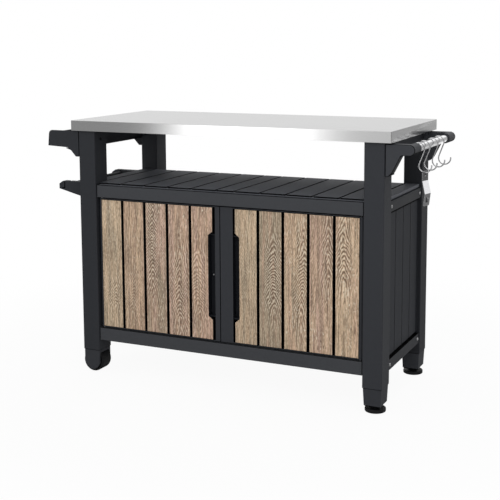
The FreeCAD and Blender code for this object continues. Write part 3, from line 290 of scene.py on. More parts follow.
def shade(tree, colour, strength):
    """A colour made lighter or darker by a strength around 1."""
    inputs = {0: colour, "Scale": strength}
    return add(tree, "VectorMath", inputs, operation="SCALE").outputs[0]


def facing(tree):
    """The flat normal in the piece's own directions, so that it turns with its body."""
    normal = add(tree, "NewGeometry").outputs["True Normal"]
    return add(tree, "VectorTransform", {0: normal}, vector_type="NORMAL", convert_from="WORLD",
               convert_to="OBJECT").outputs[0]


def group(label, inputs, outputs):
    """An empty shader group with named sockets: its tree, its inputs and its output node."""
    kinds = {1: "NodeSocketFloat", 3: "NodeSocketVector", 4: "NodeSocketColor"}
    tree = bpy.data.node_groups.new(label, "ShaderNodeTree")
    for name, value in inputs.items():
        size = len(value) if isinstance(value, tuple) else 1
        socket = tree.interface.new_socket(name, in_out="INPUT", socket_type=kinds[size])
        socket.default_value = value
    for name, size in outputs.items():
        tree.interface.new_socket(name, in_out="OUTPUT", socket_type=kinds[size])
    given = tree.nodes.new("NodeGroupInput").outputs
    return tree, given, tree.nodes.new("NodeGroupOutput")


def give(tree, output, results):
    """Links a group's results to its named outputs."""
    for name, socket in results.items():
        tree.links.new(socket, output.inputs[name])


# Effects shared by the materials
def rounded_edges_group():
    """Softened edges: a rounded normal, and a mask that is 1 on the edges."""
    tree, given, output = group("Rounded edges", {"Radius": 0.001}, {"Normal": 3, "Edge": 1})
    rounded = add(tree, "Bevel", {"Radius": given["Radius"]}, samples=EDGE_SAMPLES).outputs[0]
    flat = add(tree, "NewGeometry").outputs["Normal"]
    same = reach_along(tree, rounded, flat)
    give(tree, output, {"Normal": rounded, "Edge": ease(tree, same, *EDGE_LEAN)})
    return tree


def sunk_faces_group():
    """A mask of what lies below a level along an axis, down to a depth, inside a rim, where the
    resin is painted in shade.

    The axis is mirrored on the cart's left half, so that one mask serves both sides.
    """
    inputs = {"Axis": TOP, "Level": 0.0, "Depth": 0.004, "Rim": 1.0}
    tree, given, output = group("Sunk faces", inputs, {"Mask": 1})
    place = add(tree, "TexCoord").outputs["Object"]
    sideways = add(tree, "SeparateXYZ", {0: place}).outputs[0]
    mirror = add(tree, "CombineXYZ", {0: calc(tree, "SIGN", sideways), 1: 1.0, 2: 1.0}).outputs[0]
    turned = add(tree, "VectorMath", {0: mirror, 1: given["Axis"]}, operation="MULTIPLY")
    outward = turned.outputs[0]
    reach = reach_along(tree, place, outward)
    looks = reach_along(tree, facing(tree), outward)
    below = calc(tree, "LESS_THAN", reach, given["Level"])
    bottom = calc(tree, "SUBTRACT", given["Level"], given["Depth"])
    above = calc(tree, "GREATER_THAN", reach, bottom)
    inside = calc(tree, "LESS_THAN", calc(tree, "ABSOLUTE", sideways), given["Rim"])
    open_face = calc(tree, "GREATER_THAN", looks, LOOKS_INWARD)
    mask = calc(tree, "MULTIPLY", calc(tree, "MULTIPLY", below, above), inside)
    give(tree, output, {"Mask": calc(tree, "MULTIPLY", mask, open_face)})
    return tree


def moulded_resin_group():
    """Moulded resin: fine grain, cloudy tone, worn and highlit edges, painted shade in sunk faces
    and on undersides.
    """
    inputs = {"Tone": GRAPHITE, "Roughness": 0.5, "Cloudiness": 0.1, "Flow": (0.25, 0.25, 0.25),
              "Edge": 0.0, "Sunk": 0.0}
    outputs = {"Colour": 4, "Roughness": 1, "Height": 1, "Unlit": 1}
    tree, given, output = group("Moulded resin", inputs, outputs)
    place = add(tree, "TexCoord").outputs["Object"]
    grain = noise(tree, scaled(tree, place, RESIN_GRAIN), detail=2.0, roughness=0.6)
    cloud = noise(tree, scaled(tree, place, given["Flow"]), detail=4.0, roughness=0.62)
    mottle = noise(tree, scaled(tree, place, RESIN_MOTTLE), detail=2.0, roughness=0.5)
    cloudy = swing(tree, cloud, given["Cloudiness"], 1.0)
    mottled = swing(tree, mottle, MOTTLE_STRENGTH, cloudy)
    rubbed_and_highlit = calc(tree, "MULTIPLY_ADD", given["Edge"], RUBBED_AND_HIGHLIT_EDGE, mottled)
    # painted shade on undersides and sunk faces: their colour is darkened and their gloss switched
    # off
    upward = add(tree, "SeparateXYZ", {0: facing(tree)}).outputs[2]
    under = calc(tree, "MULTIPLY", ease(tree, upward, *UNDERSIDE), UNDERSIDE_SHADE)
    hidden = calc(tree, "MAXIMUM", given["Sunk"], under)
    shown = calc(tree, "MULTIPLY_ADD", hidden, -DEEPEST_SHADE, 1.0)
    lit = calc(tree, "MULTIPLY", rubbed_and_highlit, shown)
    rough = swing(tree, cloud, CLOUD_ROUGHNESS, given["Roughness"])
    worn = calc(tree, "MULTIPLY_ADD", given["Edge"], POLISHED_EDGE, rough)
    give(tree, output, {"Colour": shade(tree, given["Tone"], lit), "Height": grain, "Unlit": hidden,
                        "Roughness": calc(tree, "MAXIMUM", worn, hidden)})
    return tree


def brushed_lines_group():
    """Brushed steel: fine parallel lines along X, along Y on the end faces, with faint smears."""
    inputs = {"Tone": STAINLESS, "Roughness": 0.3, "Contrast": 0.2, "Line": 0.0007, "Reach": 0.30}
    tree, given, output = group("Brushed lines", inputs, {"Colour": 4, "Roughness": 1, "Height": 1})
    place = add(tree, "TexCoord").outputs["Object"]
    sideways = add(tree, "SeparateXYZ", {0: facing(tree)}).outputs[0]
    on_end = ease(tree, calc(tree, "ABSOLUTE", sideways), *END_FACE)
    line, reach = given["Line"], given["Reach"]
    across = add(tree, "CombineXYZ", {0: line, 1: reach, 2: line}).outputs[0]
    along = add(tree, "CombineXYZ", {0: reach, 1: line, 2: line}).outputs[0]
    size = mix(tree, on_end, along, across)
    lines = noise(tree, scaled(tree, place, size), detail=1.0, roughness=0.5)
    wide = shade(tree, size, STREAK_WIDTH)
    streaks = noise(tree, scaled(tree, place, wide), detail=2.0, roughness=0.6)
    smears = noise(tree, scaled(tree, place, SMEAR_SIZE), detail=2.0, roughness=0.5)
    both = calc(tree, "ADD", calc(tree, "MULTIPLY", lines, LINE_SHARE),
                calc(tree, "MULTIPLY", streaks, STREAK_SHARE))
    tone = swing(tree, both, given["Contrast"], 1.0)
    rough = swing(tree, smears, SMEAR_ROUGHNESS, given["Roughness"])
    give(tree, output, {"Colour": shade(tree, given["Tone"], tone), "Height": lines,
                        "Roughness": swing(tree, both, LINE_ROUGHNESS, rough)})
    return tree


def limed_oak_group():
    """Limed oak cut lengthwise: rings that arch up the plank, fibres, pale and dark flecks, painted
    shade on the plank's sides.
    """
    inputs = {"Tan": (0.40, 0.30, 0.20, 1.0), "Pink": (0.38, 0.27, 0.21, 1.0),
              "Grey": (0.33, 0.27, 0.20, 1.0), "Pale": LIME, "Dark": UMBER,
              "Painted gap shade": BLACK_PLASTIC, "Arch centre": 0.0, "Arch middle": 0.40,
              "Arch half height": 0.10, "Arch pitch": 0.0105, "Arch roundness": 0.004,
              "Arch width": 0.022, "Arches": 1.0, "Figure": 3.0, "Flecks": 1.0, "Seed": 0.0,
              "Edge": 0.0}
    tree, given, output = group("Limed oak", inputs, {"Colour": 4, "Roughness": 1, "Height": 1})
    seed = add(tree, "CombineXYZ", dict.fromkeys(range(3), given["Seed"])).outputs[0]
    object_place = add(tree, "TexCoord").outputs["Object"]
    place = moved(tree, object_place, seed)
    apart = add(tree, "SeparateXYZ", {0: object_place})
    sideways, upward = apart.outputs[0], apart.outputs[2]

    def grain(kind):
        """One kind of figure, drawn out along the plank."""
        width, length, detail, roughness, offset = FIGURES[kind]
        there = moved(tree, place, (offset, 0.0, offset))
        return noise(tree, scaled(tree, there, (width, PLANK_THROUGH, length)), detail, roughness)

    def times(first, second):
        """The product of two values."""
        return calc(tree, "MULTIPLY", first, second)

    # growth rings: straight beside the heart, arched up and down over it, bent by the tree's figure
    centre = swing(tree, grain("heart"), HEART_WANDER, given["Arch centre"])
    beside = calc(tree, "ABSOLUTE", calc(tree, "SUBTRACT", sideways, centre))
    square = times(beside, beside)
    round_off = times(given["Arch roundness"], given["Arch roundness"])
    distance = calc(tree, "SQRT", calc(tree, "ADD", square, round_off))
    above = calc(tree, "SUBTRACT", upward, given["Arch middle"])
    share = calc(tree, "DIVIDE", above, given["Arch half height"])
    climb = times(calc(tree, "TANH", share), given["Arch half height"])
    ring = calc(tree, "ADD", calc(tree, "DIVIDE", climb, given["Arch pitch"]),
                calc(tree, "DIVIDE", distance, RING_PITCH))
    ring = calc(tree, "ADD", ring, times(grain("figure"), given["Figure"]))
    ring = swing(tree, grain("ripple"), RIPPLE, ring)
    wave = calc(tree, "SINE", times(ring, 2.0 * math.pi))
    begins, full = (times(given["Arch width"], share_of_width) for share_of_width in NEAR_HEART)
    near_heart = ease(tree, beside, begins, full)
    in_arches = ease(tree, calc(tree, "ABSOLUTE", share), *ARCH_ENDS)
    arched = times(times(near_heart, in_arches), given["Arches"])
    force = calc(tree, "MULTIPLY_ADD", arched, ARCHED_FORCE, STRAIGHT_FORCE)

    # broad bands of tone, and fibres
    colour = mix(tree, ease(tree, grain("band"), *BANDS), given["Tan"], given["Pink"])
    colour = mix(tree, ease(tree, grain("greyed"), *GREYED), colour, given["Grey"])
    fibre = ease(tree, grain("fibre"), *FIBRES)
    short = ease(tree, grain("short"), *SHORT_FIBRES)
    tone = swing(tree, short, SHORT_SWING, swing(tree, fibre, FIBRE_SWING, OAK_LIGHTNESS))
    colour = shade(tree, colour, tone)

    # dark late wood
    late = times(ease(tree, wave, *LATE_WOOD), force)
    colour = mix(tree, times(late, LATE_STRENGTH), colour, given["Dark"])

    # pale lime in the pores of the early wood and in stray pores, and pale lime with a painted
    # highlight on the edges
    broken = ease(tree, short, *BROKEN_LIME)
    early = times(times(ease(tree, wave, *EARLY_WOOD), force), broken)
    patches = ease(tree, grain("patch"), *PATCHES)
    stray = times(times(ease(tree, grain("stray"), *STRAY_LIME), patches), given["Flecks"])
    pale = calc(tree, "MAXIMUM", early, times(stray, STRAY_STRENGTH))
    pale = calc(tree, "MAXIMUM", pale, times(given["Edge"], LIMED_AND_HIGHLIT_EDGE))
    colour = mix(tree, times(pale, LIME_STRENGTH), colour, given["Pale"])

    # dark specks, and painted shade on the planks' sides in the gaps between them
    colour = mix(tree, ease(tree, grain("speck"), *SPECKS), colour, given["Dark"])
    looks = add(tree, "SeparateXYZ", {0: facing(tree)}).outputs[1]
    colour = mix(tree, ease(tree, looks, *PLANK_FRONT), colour, given["Painted gap shade"])
    height = calc(tree, "ADD", times(fibre, FIBRE_RELIEF), times(pale, LIME_RELIEF))
    rough = calc(tree, "MULTIPLY_ADD", pale, LIME_ROUGHNESS, OAK_ROUGHNESS)
    give(tree, output, {"Colour": colour, "Roughness": rough, "Height": height})
    return tree


ROUNDED_EDGES = rounded_edges_group()
SUNK_FACES = sunk_faces_group()
MOULDED_RESIN = moulded_resin_group()
BRUSHED_LINES = brushed_lines_group()
LIMED_OAK = limed_oak_group()


# Materials
def dressed(label, effect, values, constants, edge_radius, relief, step, tangent=False, grooves=()):
    """A material from one of the effects: its values, the shader's constants, edges and relief."""
    made = bpy.data.materials.new(label)
    made.use_nodes = True
    tree = made.node_tree
    shader = tree.nodes["Principled BSDF"]
    for name, value in constants.items():
        shader.inputs[name].default_value = value
    edges = add(tree, "Group", {"Radius": edge_radius}, node_tree=ROUNDED_EDGES)
    surface = add(tree, "Group", values, node_tree=effect)
    if "Edge" in surface.inputs:
        tree.links.new(edges.outputs["Edge"], surface.inputs["Edge"])
    masks = [add(tree, "Group", where, node_tree=SUNK_FACES).outputs["Mask"] for where in grooves]
    if masks:
        whole = masks[0]
        for mask in masks[1:]:
            whole = calc(tree, "MAXIMUM", whole, mask)
        tree.links.new(whole, surface.inputs["Sunk"])
    inputs = {"Height": surface.outputs["Height"], "Normal": edges.outputs["Normal"],
              "Strength": relief, "Distance": step}
    bump = add(tree, "Bump", inputs)
    tree.links.new(surface.outputs["Colour"], shader.inputs["Base Color"])
    tree.links.new(surface.outputs["Roughness"], shader.inputs["Roughness"])
    tree.links.new(bump.outputs[0], shader.inputs["Normal"])
    if "Unlit" in surface.outputs:
        # painted shade: a near-black metal has no gloss, so grooves and undersides stay dark
        tree.links.new(surface.outputs["Unlit"], shader.inputs["Metallic"])
    if tangent:
        ring = add(tree, "Tangent", direction_type="RADIAL", axis="X")
        tree.links.new(ring.outputs[0], shader.inputs["Tangent"])
    return made


def resin(label, tone, roughness, cloudiness, flow, gloss=RESIN_GLOSS, grooves=()):
    """Satin moulded resin in one tone; grooves says where it is sunk and painted in shade."""
    values = {"Tone": tone, "Roughness": roughness, "Cloudiness": cloudiness, "Flow": flow}
    constants = {"Specular IOR Level": gloss}
    return dressed(label, MOULDED_RESIN, values, constants, edge_radius=0.0012, relief=0.35,
                   step=0.00012, grooves=grooves)


def steel(label, tone, roughness, contrast, line, reach, anisotropy=0.0, tangent=False):
    """Bare steel with brushed lines."""
    values = {"Tone": tone, "Roughness": roughness, "Contrast": contrast, "Line": line,
              "Reach": reach}
    constants = {"Metallic": 1.0, "Anisotropic": anisotropy}
    return dressed(label, BRUSHED_LINES, values, constants, edge_radius=0.0006, relief=0.04,
                   step=0.00001, tangent=tangent)


def oak(label, tones, arches, seed, flecks, figure):
    """One plank's limed oak: its three tones, its arches, its seed, its flecks and its figure."""
    values = {"Tan": tones[0], "Pink": tones[1], "Grey": tones[2], "Flecks": flecks,
              "Figure": figure, "Seed": seed}
    values.update(arches)
    constants = {"Specular IOR Level": 0.25}
    return dressed(label, LIMED_OAK, values, constants, edge_radius=0.0016, relief=0.5, step=0.0003)


def linear(red, green, blue):
    """A linear colour from screen values of 0 to 255."""
    def one(value):
        """One channel."""
        share = value / 255.0
        return share / 12.92 if share <= 0.04045 else ((share + 0.055) / 1.055) ** 2.4
    return (one(red), one(green), one(blue), 1.0)


def arch(centre, middle, half_height, pitch=0.0105, roundness=0.004, width=0.022, strength=1.0):
    """Where a plank's growth rings arch, and how."""
    return {"Arch centre": centre, "Arch middle": middle, "Arch half height": half_height,
            "Arch pitch": pitch, "Arch roundness": roundness, "Arch width": width,
            "Arches": strength}


def sunk(axis, level, depth, rim=1.0):
    """What lies below a level along an axis, down to a depth, and not beyond the rim."""
    return {"Axis": axis, "Level": level, "Depth": depth, "Rim": rim}


def behind_face(name):
    """The grooves just behind the front face of a piece."""
    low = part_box(name)[0]
    return sunk(FRONT, -low.y - GROOVE_START, GROOVE_DEPTH)


def top_of(name, depth):
    """The uppermost strip of a piece."""
    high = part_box(name)[1]
    return sunk(TOP, high.z + TOP_MARGIN, depth)


def foot_of(name, depth):
    """The lowest strip of a piece."""
    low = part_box(name)[0]
    return sunk(TOP, low.z + depth, 2 * depth)


def ends_of(name):
    """The end faces of a piece, left and right."""
    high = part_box(name)[1]
    return sunk(RIGHT, high.x + END_MARGIN, END_DEPTH)


def even(size):
    """The same size along X, Y and Z."""
    return (size, size, size)


# Sizes of the clouds in the resin's tone, longest along the way that it flowed in the mould
UPRIGHT_FLOW = (0.12, 0.12, 0.9)
LEVEL_FLOW = (0.9, 0.12, 0.12)
BOARD_FLOW = (0.05, 0.30, 0.05)
PANEL_FLOW = (0.05, 0.05, 0.6)
DOOR_FLOW = (0.1, 0.1, 0.6)
CUP_FLOW = (0.1, 0.1, 0.3)

# In the resins below, grooves and undersides get painted shade, and some tones are lit or shaded
# copies of the graphite
LEG_RESIN = resin("leg_resin", GRAPHITE, roughness=0.58, cloudiness=0.14, flow=UPRIGHT_FLOW)
# painted shade: the front left leg in the darker left-hand copy of the graphite
LEFT_LEG_PAINTED_SHADE_RESIN = resin("left_leg_painted_shade_resin", GRAPHITE_LEFT_PAINTED_SHADE, roughness=0.58, cloudiness=0.14,
                       flow=UPRIGHT_FLOW)
# painted shade: the rear right leg in a darker copy of the graphite
REAR_LEG_PAINTED_SHADE_RESIN = resin("rear_leg_painted_shade_resin", GRAPHITE_REAR_PAINTED_SHADE, roughness=0.58, cloudiness=0.14,
                         flow=UPRIGHT_FLOW)
# painted light: the rails in a lighter copy of the graphite
RAIL_RESIN = resin("rail_resin", GRAPHITE_RAIL_PAINTED_LIGHT, roughness=0.58, cloudiness=0.14, flow=LEVEL_FLOW,
                   grooves=[behind_face("rail_front_upper")])
SIDE_RAIL_RESIN = resin("side_rail_resin", GRAPHITE_SIDE_RAIL, roughness=0.58, cloudiness=0.14,
                        flow=LEVEL_FLOW,
                        grooves=[top_of("side_rail_right_lower", RAIL_TOP_SHADE),
                                 foot_of("side_rail_right_upper", RAIL_FOOT_SHADE)])
# painted light: the deck in a much lighter copy of the graphite
DECK_RESIN = resin("deck_resin", GRAPHITE_DECK_PAINTED_LIGHT, roughness=0.64, cloudiness=0.30, flow=BOARD_FLOW,
                   gloss=FLAT_GLOSS, grooves=[sunk(TOP, *DECK_GROOVES)])
SIDE_RESIN = resin("side_resin", GRAPHITE, roughness=0.62, cloudiness=0.16, flow=PANEL_FLOW,
                   gloss=FLAT_GLOSS,
                   grooves=[sunk(RIGHT, *SIDE_GROOVES),
                            top_of("side_panel_right", PANEL_TOP_SHADE)])
BACK_RESIN = resin("back_resin", GRAPHITE, roughness=0.62, cloudiness=0.16, flow=PANEL_FLOW,
                   gloss=FLAT_GLOSS, grooves=[sunk(BACK, *BACK_GROOVES)])
# painted shade: the tray, the roll arms and the rod in the darker left-hand copy of the graphite
TRAY_RESIN = resin("tray_resin", GRAPHITE_LEFT_PAINTED_SHADE, roughness=0.56, cloudiness=0.18, flow=even(0.12),
                   grooves=[behind_face("condiment_tray")])
ARM_RESIN = resin("arm_resin", GRAPHITE_LEFT_PAINTED_SHADE, roughness=0.56, cloudiness=0.18, flow=even(0.12),
                  grooves=[sunk(FRONT, ARM_FRONT - GROOVE_START, CLIP_DEPTH)])
# painted light: the brackets in a lighter copy of the graphite
BRACKET_RESIN = resin("bracket_resin", GRAPHITE_BRACKET_PAINTED_LIGHT, roughness=0.56, cloudiness=0.18,
                      flow=even(0.12), grooves=[behind_face("bar_bracket_front")])
INNER_RESIN = resin("inner_resin", GRAPHITE, roughness=0.66, cloudiness=0.12, flow=even(0.3))
FLOOR_RESIN = resin("floor_resin", GRAPHITE, roughness=0.66, cloudiness=0.12, flow=even(0.3),
                    gloss=FLAT_GLOSS, grooves=[ends_of("cabinet_floor")])
# painted shade: the handle cups in a near-black copy of the graphite
CUP_PAINTED_SHADE_RESIN = resin("cup_painted_shade_resin", GRAPHITE_CUP_PAINTED_SHADE, roughness=0.55, cloudiness=0.20, flow=CUP_FLOW)
DOOR_RESIN = resin("door_resin", GRAPHITE, roughness=0.60, cloudiness=0.12, flow=DOOR_FLOW,
                   grooves=[sunk(FRONT, *DOOR_GAPS)])
FOOT_PLASTIC = resin("foot_plastic", BLACK_PLASTIC, roughness=0.50, cloudiness=0.25,
                     flow=even(0.03))
WHEEL_PLASTIC = resin("wheel_plastic", BLACK_PLASTIC, roughness=0.60, cloudiness=0.45,
                      flow=even(0.018))
CATCH_PLASTIC = resin("catch_plastic", BLACK_PLASTIC, roughness=0.55, cloudiness=0.15,
                      flow=even(0.05))
WORKTOP_STEEL = steel("worktop_steel", STAINLESS, roughness=0.155, contrast=0.06, line=0.0006,
                      reach=1.2, anisotropy=1.0, tangent=True)
BAR_STEEL = steel("bar_steel", BRIGHT_STEEL, roughness=0.14, contrast=0.02, line=0.0006, reach=0.2)
HOOK_STEEL = steel("hook_steel", HOOK_TONE, roughness=0.12, contrast=0.02, line=0.0005, reach=0.05)
OPENER_STEEL = steel("opener_steel", DULL_STEEL, roughness=0.17, contrast=0.30, line=0.0006,
                     reach=0.05)
ZINC_STEEL = steel("zinc_steel", ZINC, roughness=0.30, contrast=0.15, line=0.0006, reach=0.003)

# Tones of the oak
TAN = linear(191, 165, 137)
WARM = linear(197, 166, 140)
PINK = linear(187, 156, 138)
BEIGE = linear(197, 174, 146)
GREY = linear(162, 146, 124)
BROWN = linear(172, 145, 123)

# The planks, from left to right
PLANK_OAK = {
    "door_left_plank_5": oak("oak_left_first", (BEIGE, TAN, GREY),
                             arch(-0.420, 0.29, 0.05, strength=0.6),
                             seed=1.7, flecks=0.8, figure=1.5),
    "door_left_plank_4": oak("oak_left_second", (TAN, WARM, BROWN),
                             arch(-0.350, 0.30, 0.08, strength=0.3),
                             seed=2.9, flecks=0.7, figure=1.5),
    "door_left_plank_3": oak("oak_left_third", (BROWN, PINK, GREY),
                             arch(-0.271, 0.49, 0.16, width=0.020),
                             seed=4.1, flecks=1.0, figure=1.5),
    "door_left_plank_2": oak("oak_left_fourth", (WARM, PINK, BROWN),
                             arch(-0.165, 0.32, 0.14, pitch=0.016, width=0.030, strength=0.8),
                             seed=5.3, flecks=1.2, figure=4.0),
    "door_left_plank_1": oak("oak_left_fifth", (WARM, PINK, BROWN),
                             arch(-0.097, 0.36, 0.12, pitch=0.013, roundness=0.005, strength=0.5),
                             seed=6.9, flecks=1.3, figure=4.0),
    "door_right_plank_1": oak("oak_right_first", (TAN, BEIGE, GREY),
                              arch(0.02, 0.40, 0.10, strength=0.2),
                              seed=8.3, flecks=0.8, figure=1.0),
    "door_right_plank_2": oak("oak_right_second", (GREY, BROWN, GREY),
                              arch(0.183, 0.41, -0.11, pitch=0.010, roundness=0.006, width=0.028),
                              seed=9.7, flecks=0.9, figure=2.0),
    "door_right_plank_3": oak("oak_right_third", (TAN, WARM, GREY),
                              arch(0.283, 0.42, 0.14, pitch=0.013, roundness=0.005, width=0.026,
                                   strength=0.9),
                              seed=11.3, flecks=1.0, figure=3.0),
    "door_right_plank_4": oak("oak_right_fourth", (PINK, BROWN, TAN),
                              arch(0.368, 0.50, 0.12, pitch=0.020, width=0.020, strength=0.7),
                              seed=12.1, flecks=1.2, figure=3.0),
    "door_right_plank_5": oak("oak_right_fifth", (TAN, WARM, BEIGE),
                              arch(0.424, 0.50, 0.10, pitch=0.017, roundness=0.005, width=0.020),
                              seed=13.9, flecks=1.2, figure=4.0),
}

# What each node is made of: the longest beginning of its name counts
FINISHES = {
    "leg_": LEG_RESIN, "leg_front_left": LEFT_LEG_PAINTED_SHADE_RESIN, "leg_rear_right": REAR_LEG_PAINTED_SHADE_RESIN,
    "rail_": RAIL_RESIN, "side_rail_": SIDE_RAIL_RESIN, "cabinet_deck": DECK_RESIN,
    "cabinet_floor": FLOOR_RESIN, "inner_shelf": INNER_RESIN, "side_panel_": SIDE_RESIN,
    "back_panel": BACK_RESIN, "worktop_frame": INNER_RESIN, "apron_": INNER_RESIN,
    "foot_sleeve": LEG_RESIN, "wheel_housing_": LEG_RESIN, "condiment_tray": TRAY_RESIN,
    "roll_arm_": ARM_RESIN, "roll_rod": ARM_RESIN, "bar_bracket_": BRACKET_RESIN,
    "door_left": DOOR_RESIN, "door_right": DOOR_RESIN, "door_left_handle_cup": CUP_PAINTED_SHADE_RESIN,
    "door_right_handle_cup": CUP_PAINTED_SHADE_RESIN, "door_pins": ZINC_STEEL, "wheel_axles": ZINC_STEEL,
    "side_screws": ZINC_STEEL, "levelling_foot_": FOOT_PLASTIC, "wheel_front": WHEEL_PLASTIC,
    "wheel_rear": WHEEL_PLASTIC, "magnet_catches": CATCH_PLASTIC, "towel_bar": BAR_STEEL,
    "hook_": HOOK_STEEL, "bottle_opener": OPENER_STEEL, "worktop_sheet": WORKTOP_STEEL,
}
FINISHES.update(PLANK_OAK)

for name, piece in nodes.items():
    best = max((key for key in FINISHES if name.startswith(key)), key=len)
    piece.data.materials.clear()
    piece.data.materials.append(FINISHES[best])


# Screws with a cross recess
def screw_head(mesh, centre, outward, radius=SCREW_RADIUS, height=SCREW_HEIGHT):
    """Adds a domed screw head with a cross recess to a mesh, its foot at the centre."""
    upward = Vector((0, 0, 1))
    place = Matrix.Translation(centre) @ upward.rotation_difference(outward).to_matrix().to_4x4()
    arm = SCREW_CROSS * radius / SCREW_RADIUS
    half = SCREW_CROSS_WIDTH * radius / SCREW_RADIUS
    corners = []
    for quarter in range(4):
        side = Matrix.Rotation(quarter * math.pi / 2, 3, "Z")
        for x, y in ((half, half), (half, arm), (-half, arm)):
            corners.append(side @ Vector((x, y, 0)))

    def ring(points):
        """New vertices at points of the head."""
        return [mesh.verts.new(place @ point) for point in points]

    def circle(reach, level):
        """A ring around the head's axis."""
        turns = [2 * math.pi * i / SCREW_RIM for i in range(SCREW_RIM)]
        return ring([Vector((reach * math.cos(turn), reach * math.sin(turn), level))
                     for turn in turns])

    def band(lower, upper):
        """Faces between two rings."""
        for i in range(len(lower)):
            after = (i + 1) % len(lower)
            mesh.faces.new((lower[i], lower[after], upper[after], upper[i])).smooth = True

    circles = [circle(reach * radius, rise * height) for reach, rise in SCREW_PROFILE]
    for lower, upper in zip(circles, circles[1:]):
        band(lower, upper)
    rim = ring([corner + Vector((0, 0, height)) for corner in corners])
    narrow, rise = SCREW_PIT
    pit = ring([corner * narrow + Vector((0, 0, rise * height)) for corner in corners])
    edges = []
    for loop in (circles[-1], rim):
        for i in range(len(loop)):
            pair = (loop[i], loop[(i + 1) % len(loop)])
            edges.append(mesh.edges.get(pair) or mesh.edges.new(pair))
    bmesh.ops.triangle_fill(mesh, edges=edges, use_beauty=True, normal=place.to_3x3() @ upward)
    band(rim, pit)
    mesh.faces.new(pit)


def finished_piece(label, mesh, finish_material, body):
    """A new piece from a mesh, on its body."""
    bmesh.ops.recalc_face_normals(mesh, faces=mesh.faces)
    data = bpy.data.meshes.new(label)
    mesh.to_mesh(data)
    mesh.free()
    data.materials.append(finish_material)
    piece = bpy.data.objects.new(label, data)
    bpy.context.scene.collection.objects.link(piece)
    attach(piece, body)
    return piece


def side_screw_heads():
    """The eight screws that hold the side rails to the legs."""
    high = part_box("side_screws")[1]
    rails = [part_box(name) for name in ("side_rail_right_upper", "side_rail_right_lower")]
    mesh = bmesh.new()
    for side in (-1, 1):
        for end in (-1, 1):
            for rail_low, rail_high in rails:
                level = (rail_low.z + rail_high.z) / 2
                across, along = side * (high.x - SCREW_HEIGHT), end * (high.y - SCREW_RADIUS)
                screw_head(mesh, Vector((across, along, level)), Vector((side, 0, 0)))
    piece = finished_piece("side_screw_heads", mesh, ZINC_STEEL, "cart")
    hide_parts("side_screws")


def handle_screws():
    """A small screw in the floor of each handle cup."""
    for side, body in ((-1, "door_left"), (1, "door_right")):
        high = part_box(body + "_handle_cup")[1]
        floor = high.y - CUP_WALL
        place = Vector((side * HANDLE_SCREW[0], floor, HANDLE_SCREW[1]))
        mesh = bmesh.new()
        screw_head(mesh, place, Vector((0, -1, 0)), SMALL_SCREW_RADIUS, SMALL_SCREW_HEIGHT)
        finished_piece(body + "_handle_screw", mesh, ZINC_STEEL, body)


def leg_screws():
    """Dark screws in the inner faces of the legs, under the worktop."""
    mesh = bmesh.new()
    for name in ("leg_front_left", "leg_front_right", "leg_rear_left", "leg_rear_right"):
        low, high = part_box(name)
        side = 1 if high.x < 0 else -1
        inner = high.x if side > 0 else low.x
        place = Vector((inner, (low.y + high.y) / 2, high.z - LEG_SCREW_DROP))
        screw_head(mesh, place, Vector((side, 0, 0)))
    finished_piece("leg_screws", mesh, CATCH_PLASTIC, "cart")


side_screw_heads()
handle_screws()
leg_screws()


# Floor, light and camera
def studio_floor():
    """A pale floor that fades to plain white away from the cart."""
    mesh = bmesh.new()
    bmesh.ops.create_circle(mesh, cap_ends=True, segments=FLOOR_CORNERS, radius=FLOOR_RADIUS)
    data = bpy.data.meshes.new("studio_floor")
    mesh.to_mesh(data)
    mesh.free()
    floor = bpy.data.objects.new("studio_floor", data)
    bpy.context.scene.collection.objects.link(floor)
    paint = bpy.data.materials.new("studio_floor")
    paint.use_nodes = True
    tree = paint.node_tree
    tree.nodes.clear()
    place = add(tree, "TexCoord").outputs["Object"]
    reach = add(tree, "VectorMath", {0: place}, operation="LENGTH").outputs["Value"]
    fade = ease(tree, reach, *SHADOW_REACH, FLOOR_WHITE, 1.0)
    ray = add(tree, "LightPath")
    seen = calc(tree, "MAXIMUM", ray.outputs["Is Camera Ray"], ray.outputs["Is Glossy Ray"])
    seen = calc(tree, "MAXIMUM", seen, ray.outputs["Is Transmission Ray"])
    matt = add(tree, "BsdfDiffuse", {"Color": FLOOR_TONE})
    bright = ease(tree, ray.outputs["Is Glossy Ray"], 0.0, 1.0, 1.0, FLOOR_IN_STEEL)
    white = add(tree, "Emission", {"Color": WHITE, "Strength": bright})
    blend = add(tree, "MixShader", {0: calc(tree, "MULTIPLY", fade, seen), 1: matt.outputs[0],
                                    2: white.outputs[0]})
    out = add(tree, "OutputMaterial")
    tree.links.new(blend.outputs[0], out.inputs[0])
    data.materials.append(paint)


def horizon_band(tree, azimuth):
    """What gloss and steel reflect at the height of the horizon, all the way round."""
    turn = calc(tree, "MULTIPLY_ADD", azimuth, 1.0 / 360.0, 0.5)
    ramp = add(tree, "ValToRGB", {0: turn})
    stops = ramp.color_ramp.elements
    while len(stops) > 1:
        stops.remove(stops[-1])
    for index, (degrees, brightness) in enumerate(HORIZON):
        stop = stops[0] if index == 0 else stops.new(degrees / 360.0 + 0.5)
        stop.position = degrees / 360.0 + 0.5
        stop.color = [brightness / BRIGHTEST] * 3 + [1.0]
    return calc(tree, "MULTIPLY", ramp.outputs[0], BRIGHTEST)


def bright_window(tree, azimuth, height):
    """A soft-edged window, seen in the steel only."""
    soft, soft_up = WINDOW_EDGE
    window = ease(tree, azimuth, WINDOW_ACROSS[0] - soft, WINDOW_ACROSS[0])
    for value, edge, beyond in ((azimuth, WINDOW_ACROSS[1], soft), (height, WINDOW_UP[0], -soft_up),
                                (height, WINDOW_UP[1], soft_up)):
        window = calc(tree, "MULTIPLY", window, ease(tree, value, edge + beyond, edge))
    return calc(tree, "MULTIPLY", window, WINDOW_BRIGHT)


